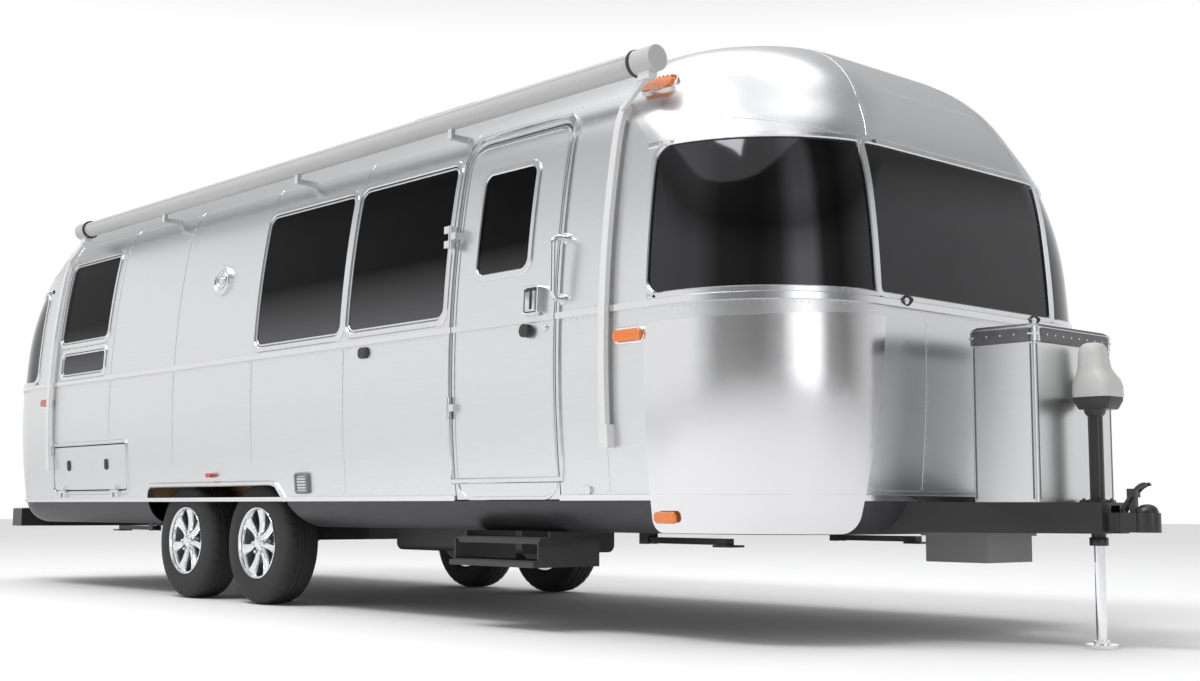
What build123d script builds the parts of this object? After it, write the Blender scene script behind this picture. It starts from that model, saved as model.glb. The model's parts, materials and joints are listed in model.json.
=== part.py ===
from build123d import *
import os
from math import asin, atan2, cos, pi, sin, sqrt

# Riveted aluminium travel caravan on two axles. Millimetres, +X towards the hitch, +Y street side,
# -Y the side with the entry door, +Z up, z = 0 on the ground. x = 0 is the middle of the whole
# length, from the bumper to the tip of the coupler. Values named reach_ or in the tables of
# windows are measured along X from the seam of the front end cap.

# ---------------------------------------------------------------- driving dimensions: body form
body_width = 2578
straight_length = 5825
cap_depth = 1003
hitch_reach = 1857
bumper_reach = 205
plan_corner_radius = 621
dome_growth = 378
dome_start_z = 1900
widest_z = 1250
side_radius = 5250
side_shoulder_z = 2190
cap_shoulder_z = 2050
crown_z = 2742
roof_radius = 3600
cap_roof_radius = 1414
crown_flat = 5
wall = 45
sill_z = 590
belt_z = 1417
roof_seam_z = 2430
deck_thickness = 40
belly_z = 450
belly_sheet = 6

# skin fittings
trim_height = 28
sill_trim_height = 24
trim_proud = 12
glass_recess = 5
glass_thickness = 6
guard_thickness = 10
lamp_proud = 30

# entry door, from the front seam
door_left = -1101
door_right = -323
door_top = 2345
door_corner = 110
door_gap = 6
door_glass_left = -930
door_glass_right = -545
door_glass_bottom = 1665
door_glass_top = 2165
hinge_radius = 10
hinge_knuckle = 36
hinge_play = 0.5
hinge_offset = 16
leaf_thickness = 4
leaf_width = 46
locker_leaf_width = 38

# lower locker door, from the front seam
locker_left = -5775
locker_right = -4635
locker_bottom = 665
locker_top = 975
locker_corner = 30
locker_gap = 8

# wheels and axles
tyre_radius = 352
tyre_width = 225
rim_radius = 205
rim_barrel = 12
tyre_face_y = 1200
axle_spacing = 866
rear_axle_reach = -3942
spindle_radius = 22
hub_play = 0.5
axle_tube = 80

# chassis and hitch
rail_top_z = 588
rail_height = 126
rail_width = 60
rail_y = 800
tongue_width = 70
crossmember_pitch = 1200
bumper_half_width = 1060
bumper_bottom = 412
bumper_top = 545
bumper_sheet = 5
ball_radius = 30
jack_reach = 1590
jack_tube_radius = 29
jack_leg_radius = 22
foot_radius = 65
gas_cover_rear = 1195
gas_cover_front = 1500
gas_cover_half_width = 300
gas_cover_height = 712

# windows in the sides: middle along X from the front seam, middle height, width, height, corner
CURB_WINDOWS = (
    (-5360, 1985, 760, 590, 60),
    (-5335, 1545, 680, 170, 45),
    (-2545, 1865, 910, 790, 65),
    (-1605, 1872, 880, 796, 65),
)
STREET_WINDOWS = (
    (-5360, 1985, 760, 590, 60),
    (-2545, 1985, 910, 560, 65),
    (-900, 1865, 880, 790, 65),
)
# windows in the end caps
cap_glass_bottom = 1456
cap_glass_top = 2105
pane_gap = 34
mullion_y = 664
wrap_reach = 262
wrap_corner = 85
# folding stabiliser legs: place, pivot from the front seam, way that the folded leg points, side
STABILISERS = (
    ("rear_curb", -5350, -1, -1),
    ("rear_street", -5350, -1, 1),
    ("front_curb", -330, 1, -1),
    ("front_street", -330, 1, 1),
)
# wheels: place, axle counted from the rear, side
WHEELS = (
    ("rear_curb", 0, -1),
    ("rear_street", 0, 1),
    ("front_curb", 1, -1),
    ("front_street", 1, 1),
)

# ---------------------------------------------------------------- derived places
half_width = body_width / 2
half_total = (straight_length + cap_depth + bumper_reach + hitch_reach) / 2
front_seam_x = half_total - hitch_reach
rear_seam_x = front_seam_x - straight_length
body_mid_x = (front_seam_x + rear_seam_x) / 2
tail_x = rear_seam_x - cap_depth
rail_bottom = rail_top_z - rail_height
deck_top = sill_z + deck_thickness
os.makedirs("parts", exist_ok=True)


def lean_of(shoulder_z):
    return asin((shoulder_z - widest_z) / side_radius)


def shoulder_of(reach, shoulder_z, crown_radius):
    """Centre and radius of the arc that joins the side's arc to the roof's arc, tangent to both."""
    lean = lean_of(shoulder_z)
    out = reach - side_radius * (1 - cos(lean))
    up = shoulder_z - (crown_z - crown_radius)
    radius = (crown_radius**2 - out**2 - up**2) / (2 * (crown_radius - out * cos(lean) - up * sin(lean)))
    return out - radius * cos(lean), shoulder_z - radius * sin(lean), radius


def reach_at(z, inset, reach, shoulder_z, crown_radius):
    """How far the form reaches at a height: an arc up the side, a shoulder arc and a roof arc."""
    centre_out, centre_z, radius = shoulder_of(reach, shoulder_z, crown_radius)
    crown_centre_z = crown_z - crown_radius
    steep = atan2(centre_z - crown_centre_z, centre_out)
    if z <= centre_z + (radius - inset) * sin(lean_of(shoulder_z)):
        return reach - side_radius + sqrt((side_radius - inset) ** 2 - (z - widest_z) ** 2)
    if z <= centre_z + (radius - inset) * sin(steep):
        return centre_out + sqrt((radius - inset) ** 2 - (z - centre_z) ** 2)
    return sqrt((crown_radius - inset) ** 2 - (z - crown_centre_z) ** 2)


def side_y(z, inset=0):
    return reach_at(z, inset, half_width, side_shoulder_z, roof_radius)


def cap_x(z, inset=0):
    return reach_at(z, inset, cap_depth, cap_shoulder_z, cap_roof_radius)


def form_levels(inset, bottom):
    """Heights of the horizontal sections: up the sides, round the shoulder and over the roof."""
    centre_out, centre_z, radius = shoulder_of(half_width, side_shoulder_z, roof_radius)
    steep = atan2(centre_z - (crown_z - roof_radius), centre_out)
    lean = lean_of(side_shoulder_z)
    low = [bottom] + [sill_z + (widest_z - sill_z) * share for share in (0.1, 0.3, 0.6, 1)]
    middle = [widest_z + (side_shoulder_z - widest_z) * share for share in (0.3, 0.6, 0.85)]
    turns = (0, 0.15, 0.35, 0.55, 0.75, 0.9, 1)
    shoulder = [centre_z + (radius - inset) * sin(lean + (steep - lean) * turn) for turn in turns]
    top = crown_z - inset - crown_flat
    roof = [shoulder[-1] + (top - shoulder[-1]) * share for share in (0.3, 0.6, 0.85, 1)]
    return low + middle + shoulder + roof


def plan_section(z, inset):
    """Half length, half width and corner radius of the horizontal section at a height."""
    across = side_y(z, inset)
    cap = cap_x(z, inset)
    dome = max(0, (z - dome_start_z) / (crown_z - dome_start_z))
    corner = plan_corner_radius + dome_growth * dome - inset
    return straight_length / 2 + cap, across, min(corner, 0.96 * across, max(0.96 * cap, 300))


def body_form(inset, bottom):
    """The coach body as one closed form, moved inward by inset."""
    with BuildPart() as form:
        for z in form_levels(inset, bottom):
            along, across, corner = plan_section(z, inset)
            with BuildSketch(Plane.XY.offset(z)):
                with Locations((body_mid_x, 0)):
                    RectangleRounded(2 * along, 2 * across, corner)
        loft()
    return form.part


def block(x0, x1, y0, y1, z0, z1):
    """A plain box between six limits, used to keep or cut a region."""
    with BuildPart() as box:
        with Locations(((x0 + x1) / 2, (y0 + y1) / 2, (z0 + z1) / 2)):
            Box(x1 - x0, y1 - y0, z1 - z0)
    return box.part


def side_prisms(rows, side, spare=0):
    """Prisms through one side wall; side is -1 for the entry side and 1 for the street side."""
    start = 1000 if side < 0 else -1500
    with BuildPart() as prisms:
        with BuildSketch(Plane.XZ.offset(start)):
            for x_mid, z_mid, width, height, corner in rows:
                with Locations((front_seam_x + x_mid, z_mid)):
                    RectangleRounded(width - 2 * spare, height - 2 * spare, corner - spare)
        extrude(amount=500)
    return prisms.part


def cap_prisms(end, spare=0):
    """Prisms for the middle pane and the two wrap-round panes of an end cap; end is 1 or -1."""
    seam = front_seam_x if end > 0 else rear_seam_x
    height = cap_glass_top - cap_glass_bottom
    z_mid = (cap_glass_top + cap_glass_bottom) / 2
    inner_y = mullion_y - pane_gap / 2
    outer_y = mullion_y + pane_gap / 2
    with BuildPart() as prisms:
        with BuildSketch(Plane.YZ.offset(seam + end * 0.5 * cap_depth)):
            with Locations((0, z_mid)):
                RectangleRounded(2 * inner_y - 2 * spare, height - 2 * spare, 20)
        extrude(amount=end * cap_depth)
        for side in (-1, 1):
            start = -side * outer_y if side < 0 else -side * (outer_y + 800)
            with BuildSketch(Plane.XZ.offset(start)):
                with Locations((seam + end * (wrap_reach + cap_depth / 2), z_mid)):
                    RectangleRounded(cap_depth - 2 * spare, height - 2 * spare, wrap_corner)
            extrude(amount=800)
    return prisms.part


def save(part, label):
    part.label = label
    export_step(part, f"parts/{label}.step")


# ---------------------------------------------------------------- the body's skins
far = half_total + 500
outer_form = body_form(0, sill_z)
shell = outer_form - body_form(wall, sill_z - 10)
glass_skin = body_form(glass_recess, sill_z) - body_form(glass_recess + glass_thickness, sill_z - 10)
trim_skin = body_form(-trim_proud, sill_z) - body_form(0, sill_z - 10)
lamp_skin = body_form(-lamp_proud, sill_z) - body_form(0, sill_z - 10)
guard_low_z = 455
guard_skin = body_form(-guard_thickness, guard_low_z) - body_form(0, guard_low_z - 10)

door_width = door_right - door_left
door_rows = ((door_left + door_width / 2, (door_top + sill_z) / 2 - door_corner, door_width,
              door_top - sill_z + 2 * door_corner, door_corner),)
locker_rows = (((locker_left + locker_right) / 2, (locker_bottom + locker_top) / 2,
                locker_right - locker_left, locker_top - locker_bottom, locker_corner),)
door_glass_rows = (((door_glass_left + door_glass_right) / 2, (door_glass_bottom + door_glass_top) / 2,
                    door_glass_right - door_glass_left, door_glass_top - door_glass_bottom, 40),)

# ---------------------------------------------------------------- wheel openings
rear_axle_x = front_seam_x + rear_axle_reach
front_axle_x = rear_axle_x + axle_spacing
arch_rear_gap = 66
arch_front_gap = 48
arch_slope = 240
arch_top_z = 692
well_inner_y = tyre_face_y - tyre_width - 55
well_top_z = 795
well_sheet = 12


def arch_prism(side):
    """The opening for both wheels of a side, sloped at its front and rounded at its top."""
    x0 = rear_axle_x - tyre_radius - arch_rear_gap
    x1 = front_axle_x + tyre_radius - arch_front_gap
    start = -side * well_inner_y if side < 0 else -side * (well_inner_y + 500)
    with BuildPart() as arch:
        with BuildSketch(Plane.XZ.offset(start)):
            with BuildLine():
                Polyline((x0, 300), (x0, arch_top_z), (x1, arch_top_z), (x1 + arch_slope, belly_z - 20),
                         (x1 + arch_slope, 300), close=True)
            make_face()
            fillet(vertices().group_by(Axis.Y)[-1], 60)
        extrude(amount=500)
    return arch.part


# ---------------------------------------------------------------- side walls, roof and end caps
def hinge_leaf_z():
    return (1037, 1879)


hinge_x = front_seam_x + door_left - door_gap / 2
hinge_y = -(half_width + hinge_offset)


def knuckle(z_mid, length):
    """One knuckle of a door hinge, upright, on the hinge line."""
    with BuildPart() as piece:
        with BuildSketch(Plane.XY.offset(z_mid - length / 2)):
            with Locations((hinge_x, hinge_y)):
                Circle(hinge_radius)
        extrude(amount=length)
    return piece.part


def door_leaf(z_mid, length, direction):
    """A leaf from the knuckle back to the skin, to the door's side (1) or the wall's side (-1)."""
    x_near = hinge_x + direction * door_gap
    x_far = hinge_x + direction * leaf_width
    x0, x1 = sorted((x_near, x_far))
    x2, x3 = sorted((hinge_x, x_far))
    web = block(x0, x1, hinge_y - leaf_thickness, -half_width + wall, z_mid - length / 2, z_mid + length / 2)
    arm = block(x2, x3, hinge_y - leaf_thickness, hinge_y + leaf_thickness, z_mid - length / 2, z_mid + length / 2)
    return web + arm


locker_hinge_z = locker_bottom - 4
locker_hinge_y = -(side_y(locker_bottom) + hinge_offset)
locker_hinges = (front_seam_x + locker_left + 160, front_seam_x + locker_right - 160)


def locker_knuckle(x_mid, length):
    with BuildPart() as piece:
        with BuildSketch(Plane.YZ.offset(x_mid - length / 2)):
            with Locations((locker_hinge_y, locker_hinge_z)):
                Circle(hinge_radius)
        extrude(amount=length)
    return piece.part


def locker_leaf(x_mid, length, direction):
    """A leaf from the locker's knuckle to the skin, up to the door (1) or down to the wall (-1)."""
    z0, z1 = sorted((locker_hinge_z + direction * 7, locker_hinge_z + direction * locker_leaf_width))
    z2, z3 = sorted((locker_hinge_z, locker_hinge_z + direction * locker_leaf_width))
    y0 = locker_hinge_y - leaf_thickness
    web = block(x_mid - length / 2, x_mid + length / 2, y0, -half_width + wall, z0, z1)
    arm = block(x_mid - length / 2, x_mid + length / 2, y0, locker_hinge_y + leaf_thickness, z2, z3)
    return web + arm


def side_wall(side, windows):
    with BuildPart() as piece:
        add(shell)
        add(block(rear_seam_x, front_seam_x, min(0, side * far), max(0, side * far), 0, roof_seam_z),
            mode=Mode.INTERSECT)
        add(side_prisms(windows, side), mode=Mode.SUBTRACT)
        add(arch_prism(side), mode=Mode.SUBTRACT)
    return piece.part


with BuildPart() as curb_wall:
    add(side_wall(-1, CURB_WINDOWS))
    add(side_prisms(door_rows, -1), mode=Mode.SUBTRACT)
    add(side_prisms(locker_rows, -1), mode=Mode.SUBTRACT)
    for hinge_z in hinge_leaf_z():
        for step in (-1, 1):
            end_z = hinge_z + step * hinge_knuckle
            add(knuckle(end_z, hinge_knuckle))
            add(door_leaf(end_z, hinge_knuckle, -1) - outer_form)
    for hinge_at in locker_hinges:
        for step in (-1, 1):
            end_x = hinge_at + step * hinge_knuckle
            add(locker_knuckle(end_x, hinge_knuckle))
            add(locker_leaf(end_x, hinge_knuckle, -1) - outer_form)
save(curb_wall.part, "curb_wall")

with BuildPart() as street_wall:
    add(side_wall(1, STREET_WINDOWS))
save(street_wall.part, "street_wall")

for end_name, end in (("front", 1), ("rear", -1)):
    x_near = front_seam_x if end > 0 else -far
    x_far = far if end > 0 else rear_seam_x
    with BuildPart() as cap_lower:
        add(shell)
        add(block(x_near, x_far, -far, far, 0, belt_z), mode=Mode.INTERSECT)
    save(cap_lower.part, f"{end_name}_cap_lower")
    with BuildPart() as cap_upper:
        add(shell)
        add(block(x_near, x_far, -far, far, belt_z, 3500), mode=Mode.INTERSECT)
        add(cap_prisms(end), mode=Mode.SUBTRACT)
    save(cap_upper.part, f"{end_name}_cap_upper")
    with BuildPart() as cap_glass:
        add(glass_skin)
        add(cap_prisms(end), mode=Mode.INTERSECT)
    save(cap_glass.part, f"{end_name}_glass")

with BuildPart() as side_glass:
    add(glass_skin)
    add(side_prisms(CURB_WINDOWS, -1) + side_prisms(STREET_WINDOWS, 1), mode=Mode.INTERSECT)
save(side_glass.part, "side_glass")

# ---------------------------------------------------------------- entry door
door_keep = side_prisms(door_rows, -1, door_gap) - block(-far, far, -far, 0, 0, sill_z + door_gap)
# the door's inner edge steps back all round, to swing clear of the jamb
door_rebate_inset = 15
door_rebate = body_form(door_rebate_inset, sill_z - 10) & (door_keep - side_prisms(door_rows, -1, door_gap + 16))
with BuildPart() as entry_door:
    add(shell)
    add(door_keep, mode=Mode.INTERSECT)
    add(door_rebate, mode=Mode.SUBTRACT)
    add(side_prisms(door_glass_rows, -1), mode=Mode.SUBTRACT)
    add(trim_skin & door_keep & block(-far, far, -far, 0, belt_z - trim_height / 2, belt_z + trim_height / 2))
    for hinge_z in hinge_leaf_z():
        add(knuckle(hinge_z, hinge_knuckle - 2 * hinge_play))
        add(door_leaf(hinge_z, hinge_knuckle - 2 * hinge_play, 1) - outer_form)
save(entry_door.part, "entry_door")

with BuildPart() as entry_glass:
    add(glass_skin)
    add(side_prisms(door_glass_rows, -1), mode=Mode.INTERSECT)
save(entry_glass.part, "entry_glass")

latch_rows = ((-476, 1500, 105, 130, 12), (-522, 1366, 62, 62, 30.9))
with BuildPart() as entry_latch:
    add(lamp_skin)
    add(side_prisms(latch_rows, -1), mode=Mode.INTERSECT)
save(entry_latch.part, "entry_latch")

# ---------------------------------------------------------------- locker door, hinged at its foot
with BuildPart() as locker_door:
    add(shell)
    add(side_prisms(locker_rows, -1, locker_gap), mode=Mode.INTERSECT)
    for hinge_at in locker_hinges:
        add(locker_knuckle(hinge_at, hinge_knuckle - 2 * hinge_play))
        add(locker_leaf(hinge_at, hinge_knuckle - 2 * hinge_play, 1) - outer_form)
save(locker_door.part, "locker_door")

# ---------------------------------------------------------------- trims, guards and lamps
door_zone = block(front_seam_x + door_left, front_seam_x + door_right, -far, 0, 0, door_top)
guard_top = 1366
guard_top_side = 1335
guard_left = 255
guard_corner = 60
guard_inner_top_y = 626
guard_inner_low_y = 745


def guard_prism(side):
    """Where a rock guard covers the lower corner of the front cap."""
    x0 = front_seam_x + guard_left
    side_start = 400 if side < 0 else -1500
    with BuildPart() as region:
        with BuildSketch(Plane.XZ.offset(side_start)):
            with BuildLine():
                Polyline((x0, guard_low_z), (x0, guard_top_side), (x0 + 500, guard_top_side),
                         (x0 + 900, guard_top), (x0 + 900, guard_low_z), close=True)
            make_face()
            fillet(vertices().group_by(Axis.X)[0], guard_corner)
        extrude(amount=1100)
        with BuildSketch(Plane.YZ.offset(front_seam_x)):
            with BuildLine():
                Polyline((side * guard_inner_low_y, guard_low_z), (side * guard_inner_top_y, guard_top),
                         (side * 1500, guard_top), (side * 1500, guard_low_z), close=True)
            make_face()
            inner_low = vertices().group_by(Axis.Y)[0].sort_by(Axis.X)
            fillet(inner_low[-1 if side < 0 else 0], 90)
        extrude(amount=cap_depth + 100, mode=Mode.INTERSECT)
    return region.part


with BuildPart() as rock_guards:
    add(guard_skin)
    add(guard_prism(-1) + guard_prism(1), mode=Mode.INTERSECT)
save(rock_guards.part, "rock_guards")

with BuildPart() as rub_rails:
    add(trim_skin)
    add(block(-far, far, -far, far, belt_z - trim_height / 2, belt_z + trim_height / 2)
        + block(-far, far, -far, far, sill_z, sill_z + sill_trim_height), mode=Mode.INTERSECT)
    add(door_zone, mode=Mode.SUBTRACT)
    add(rock_guards.part, mode=Mode.SUBTRACT)
save(rub_rails.part, "rub_rails")

# amber lamps on the front corners: middle from the front seam, height, width, height of the pad
AMBER_LAMPS = ((165, 1290, 165, 50, 24), (150, 2425, 170, 56, 27))
RED_LAMPS = ((-3495, 745, 60, 26, 12), (-5890, 1292, 120, 50, 24))
TAIL_LAMPS = ((-1010, 880, 130, 330, 40), (1010, 880, 130, 330, 40))


def lamp_pads(rows):
    return (lamp_skin & side_prisms(rows, -1)) + (lamp_skin & side_prisms(rows, 1))


with BuildPart() as amber_lamps:
    add(lamp_pads(AMBER_LAMPS))
save(amber_lamps.part, "amber_lamps")

def tail_region():
    with BuildPart() as region:
        with BuildSketch(Plane.YZ.offset(rear_seam_x - 300)):
            for y_mid, z_mid, width, height, corner in TAIL_LAMPS:
                with Locations((y_mid, z_mid)):
                    RectangleRounded(width, height, corner)
        extrude(amount=-900)
    return region.part


with BuildPart() as rear_lamps:
    add(lamp_pads(RED_LAMPS))
    add(lamp_skin & tail_region())
save(rear_lamps.part, "rear_lamps")

# grab handle beside the door: a loop tube on two standoffs
handle_reach = -285
handle_low = 1490
handle_high = 1770
handle_off = 62
handle_radius = 13
with BuildPart() as grab_handle:
    handle_x = front_seam_x + handle_reach
    low_y = -side_y(handle_low)
    high_y = -side_y(handle_high)
    out_y = min(low_y, high_y) - handle_off
    with BuildLine() as handle_path:
        FilletPolyline((handle_x, low_y - 1, handle_low), (handle_x, out_y, handle_low),
                       (handle_x, out_y, handle_high), (handle_x, high_y - 1, handle_high), radius=35)
    with BuildSketch(Plane(origin=(handle_x, low_y - 1, handle_low), z_dir=(0, -1, 0))):
        Circle(handle_radius)
    sweep()
    for foot_y, foot_z in ((low_y, handle_low), (high_y, handle_high)):
        with BuildSketch(Plane(origin=(handle_x, foot_y + 12, foot_z), z_dir=(0, -1, 0))):
            Circle(2 * handle_radius)
        extrude(amount=20)
    add(outer_form, mode=Mode.SUBTRACT)
save(grab_handle.part, "grab_handle")

# ---------------------------------------------------------------- awning on the entry side
roller_y = -1235
roller_z = 2495
roller_radius = 50
roller_front = 145
roller_rear = -5410
head_radius = 58
head_length = 130
arm_width = 38
arm_depth = 26
arm_off = 14
arm_front = 20
arm_rear = -5800
arm_low_z = 855
arm_high_z = 2290
with BuildPart() as awning_roller:
    with BuildSketch(Plane.YZ.offset(front_seam_x + roller_rear)):
        with Locations((roller_y, roller_z)):
            Circle(roller_radius)
    extrude(amount=roller_front - roller_rear)
    for start, length in ((roller_rear - head_length, head_length), (roller_front, head_length)):
        with BuildSketch(Plane.YZ.offset(front_seam_x + start)):
            with Locations((roller_y, roller_z)):
                Circle(head_radius)
        extrude(amount=length)
save(awning_roller.part, "awning_roller")

arm_skin = body_form(-arm_off - arm_depth, sill_z) - body_form(-arm_off, sill_z - 10)
foot_skin = body_form(-arm_off - arm_depth, sill_z) - outer_form


def awning_arm(reach, head_reach):
    """An arm down the wall on two feet, and the bar from its top to the roller's head."""
    x_mid = front_seam_x + reach
    x_head = front_seam_x + head_reach
    half = arm_width / 2
    strip = arm_skin & block(x_mid - half, x_mid + half, -far, 0, arm_low_z, arm_high_z + 60)
    low_foot = foot_skin & block(x_mid - half - 8, x_mid + half + 8, -far, 0, arm_low_z - 40, arm_low_z + 60)
    high_foot = foot_skin & block(x_mid - half, x_mid + half, -far, 0, arm_high_z - 20, arm_high_z + 60)
    arm_y = -side_y(arm_high_z) - arm_off - arm_depth / 2
    with BuildPart() as link:
        with BuildLine():
            Polyline((x_mid, arm_y, arm_high_z + 30), (x_head, roller_y, roller_z - head_radius - 8))
        start = Vector(x_mid, arm_y, arm_high_z + 30)
        run = Vector(x_head, roller_y, roller_z - head_radius - 8) - start
        with BuildSketch(Plane(origin=start, z_dir=run)):
            Rectangle(24, 24)
        extrude(amount=run.length)
        with Locations((x_head, roller_y, roller_z - head_radius - 8)):
            Box(70, 50, 40)
    clamp = link.part - outer_form - awning_roller.part
    return strip + low_foot + high_foot + clamp


with BuildPart() as awning_arms:
    add(awning_arm(arm_front, roller_front + head_length / 2))
    add(awning_arm(arm_rear, roller_rear - head_length / 2))
save(awning_arms.part, "awning_arms")

# saddles that carry the roller between its arms
SADDLES = (-4283, -2656, -1200)
with BuildPart() as awning_saddles:
    for reach in SADDLES:
        x_mid = front_seam_x + reach
        add(block(x_mid - 15, x_mid + 15, roller_y - 12, -side_y(2400) + 30, 2395, 2420))
        add(block(x_mid - 15, x_mid + 15, roller_y - 12, roller_y + 12, 2395, roller_z - 20))
    add(outer_form, mode=Mode.SUBTRACT)
    add(awning_roller.part, mode=Mode.SUBTRACT)
save(awning_saddles.part, "awning_saddles")

# ---------------------------------------------------------------- roof fittings
AIR_X = front_seam_x - 2600
air_length = 960
air_width = 660
air_height = 250
with BuildPart() as air_conditioner:
    with BuildSketch(Plane.XY.offset(crown_z + 12)):
        with Locations((AIR_X, 0)):
            RectangleRounded(air_length, air_width, 110)
    with BuildSketch(Plane.XY.offset(crown_z + air_height)):
        with Locations((AIR_X - 10, 0)):
            RectangleRounded(air_length - 200, air_width - 180, 90)
    loft()
    add(block(AIR_X - 330, AIR_X + 330, -250, 250, crown_z - 40, crown_z + 12) - outer_form)
save(air_conditioner.part, "air_conditioner")

# roof vents: middle from the front seam; each has a fixed frame and a lid hinged at its rear
VENTS = (("front", -700), ("rear", -4450))
vent_size = 400
vent_rim = 60
vent_opening = 340
lid_thickness = 45
lid_gap = 0.5
vent_top = crown_z + vent_rim
with BuildPart() as vent_frames:
    for vent_name, reach in VENTS:
        x_mid = front_seam_x + reach
        add(block(x_mid - vent_size / 2, x_mid + vent_size / 2, -vent_size / 2, vent_size / 2,
                  crown_z - 40, vent_top))
        add(block(x_mid - vent_opening / 2, x_mid + vent_opening / 2, -vent_opening / 2, vent_opening / 2,
                  crown_z - 50, vent_top + 1), mode=Mode.SUBTRACT)
    add(outer_form, mode=Mode.SUBTRACT)
save(vent_frames.part, "vent_frames")

for vent_name, reach in VENTS:
    x_mid = front_seam_x + reach
    with BuildPart() as vent_lid:
        with BuildSketch(Plane.XY.offset(vent_top + lid_gap)):
            with Locations((x_mid, 0)):
                RectangleRounded(vent_size + 30, vent_size + 30, 40)
        with BuildSketch(Plane.XY.offset(vent_top + lid_gap + lid_thickness)):
            with Locations((x_mid, 0)):
                RectangleRounded(vent_size - 70, vent_size - 70, 40)
        loft()
    save(vent_lid.part, f"vent_lid_{vent_name}")

# the frames' openings run on through the roof
with BuildPart() as roof_shell:
    add(shell)
    add(block(rear_seam_x, front_seam_x, -far, far, roof_seam_z, 3500), mode=Mode.INTERSECT)
    for vent_name, reach in VENTS:
        x_mid = front_seam_x + reach
        add(block(x_mid - vent_opening / 2, x_mid + vent_opening / 2, -vent_opening / 2, vent_opening / 2,
                  crown_z - 200, crown_z + 20), mode=Mode.SUBTRACT)
save(roof_shell.part, "roof_shell")

# small fittings on the skin: middle from the front seam, height, width, height, corner
CURB_FITTINGS = ((-3458, 1920, 170, 170, 84), (-1864, 1362, 75, 52, 14), (-2480, 680, 110, 95, 10),
                 (-150, 635, 70, 34, 8))
STREET_FITTINGS = ((-3450, 1610, 520, 300, 25), (-3450, 980, 520, 380, 25), (-1900, 850, 330, 330, 15),
                   (-4700, 760, 150, 150, 20))
with BuildPart() as skin_fittings:
    add(trim_skin & side_prisms(CURB_FITTINGS, -1))
    add(trim_skin & side_prisms(STREET_FITTINGS, 1))
save(skin_fittings.part, "skin_fittings")

# ---------------------------------------------------------------- floor, belly pan and chassis
half_along = straight_length / 2 + cap_x(sill_z, wall)
half_across = side_y(sill_z, wall)
deck_play = 1


def well_block(side, grow):
    y0, y1 = sorted((side * (well_inner_y - grow), side * (half_across - deck_play)))
    return block(rear_axle_x - tyre_radius - arch_rear_gap - 30 - grow,
                 front_axle_x + tyre_radius + 70 + grow, y0, y1, sill_z - 1, well_top_z + grow)


with BuildPart() as floor_deck:
    with BuildSketch(Plane.XY.offset(sill_z)):
        with Locations((body_mid_x, 0)):
            RectangleRounded(2 * (half_along - deck_play), 2 * (half_across - deck_play),
                             plan_corner_radius - wall - deck_play)
    extrude(amount=deck_thickness)
    for side in (-1, 1):
        add(well_block(side, well_sheet) & block(-far, far, -far, far, sill_z, well_top_z + well_sheet))
        add(well_block(side, 0) + block(rear_axle_x - tyre_radius - arch_rear_gap - 30,
                                        front_axle_x + tyre_radius + 70, min(side * well_inner_y, side * 1500),
                                        max(side * well_inner_y, side * 1500), 500, sill_z + deck_thickness + 1),
            mode=Mode.SUBTRACT)
    add(block(front_seam_x + door_left - 10, front_seam_x + door_right + 10, -far, -half_across + door_gap + 6,
              sill_z - 1, sill_z + deck_thickness + 1), mode=Mode.SUBTRACT)
save(floor_deck.part, "floor_deck")

tongue_start_x = front_seam_x + 100
tongue_tip_x = front_seam_x + hitch_reach - 190


rail_rear_x = tail_x - 12


def chassis_outline(grow):
    with BuildPart() as frame:
        for side in (-1, 1):
            add(block(rail_rear_x, tongue_start_x, side * rail_y - rail_width / 2 - grow,
                      side * rail_y + rail_width / 2 + grow, rail_bottom - grow, rail_top_z + grow))
            with BuildSketch(Plane.XY.offset(rail_bottom - grow)):
                with BuildLine():
                    half = tongue_width / 2 + grow
                    Polyline((tongue_start_x - 100, side * (rail_y - half)),
                             (tongue_start_x - 100, side * (rail_y + half)),
                             (tongue_start_x, side * (rail_y + half)),
                             (tongue_tip_x, side * (70 + half)),
                             (tongue_tip_x, side * (70 - half)),
                             (tongue_start_x, side * (rail_y - half)), close=True)
                make_face()
            extrude(amount=rail_height + 2 * grow)
    return frame.part


with BuildPart() as chassis_frame:
    add(chassis_outline(0))
    members = int((tongue_start_x - rail_rear_x) // crossmember_pitch)
    for index in range(members + 1):
        x_mid = tongue_start_x - 60 - index * (tongue_start_x - 310 - rail_rear_x) / members
        add(block(x_mid - 30, x_mid + 30, -rail_y, rail_y, rail_top_z - 90, rail_top_z))
    add(block(tongue_tip_x - 190, tongue_tip_x, -104, 104, rail_top_z - 12, rail_top_z))
    add(block(front_seam_x + gas_cover_rear - 10, front_seam_x + gas_cover_rear + 40, -250, 250,
              rail_top_z - 60, rail_top_z))
    with Locations((front_seam_x + jack_reach, 0, rail_top_z - 40)):
        Cylinder(jack_tube_radius + 0.3, 200, mode=Mode.SUBTRACT)
save(chassis_frame.part, "chassis_frame")

BELLY_TUCK = ((0, 3), (30, 12), (80, 42), (118, 88), (sill_z - belly_z, 150))


def belly_form(inset):
    """The closed form below the sill: the same plan, tucked in towards the belly's flat bottom."""
    with BuildPart() as form:
        for drop, tuck in BELLY_TUCK:
            move = tuck + inset
            raise_z = inset if drop == BELLY_TUCK[-1][0] else 0
            along, across, corner = plan_section(sill_z, 0)
            with BuildSketch(Plane.XY.offset(sill_z - drop + raise_z)):
                with Locations((body_mid_x, 0)):
                    RectangleRounded(2 * (along - move), 2 * (across - move), corner - move)
        loft()
    return form.part


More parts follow.
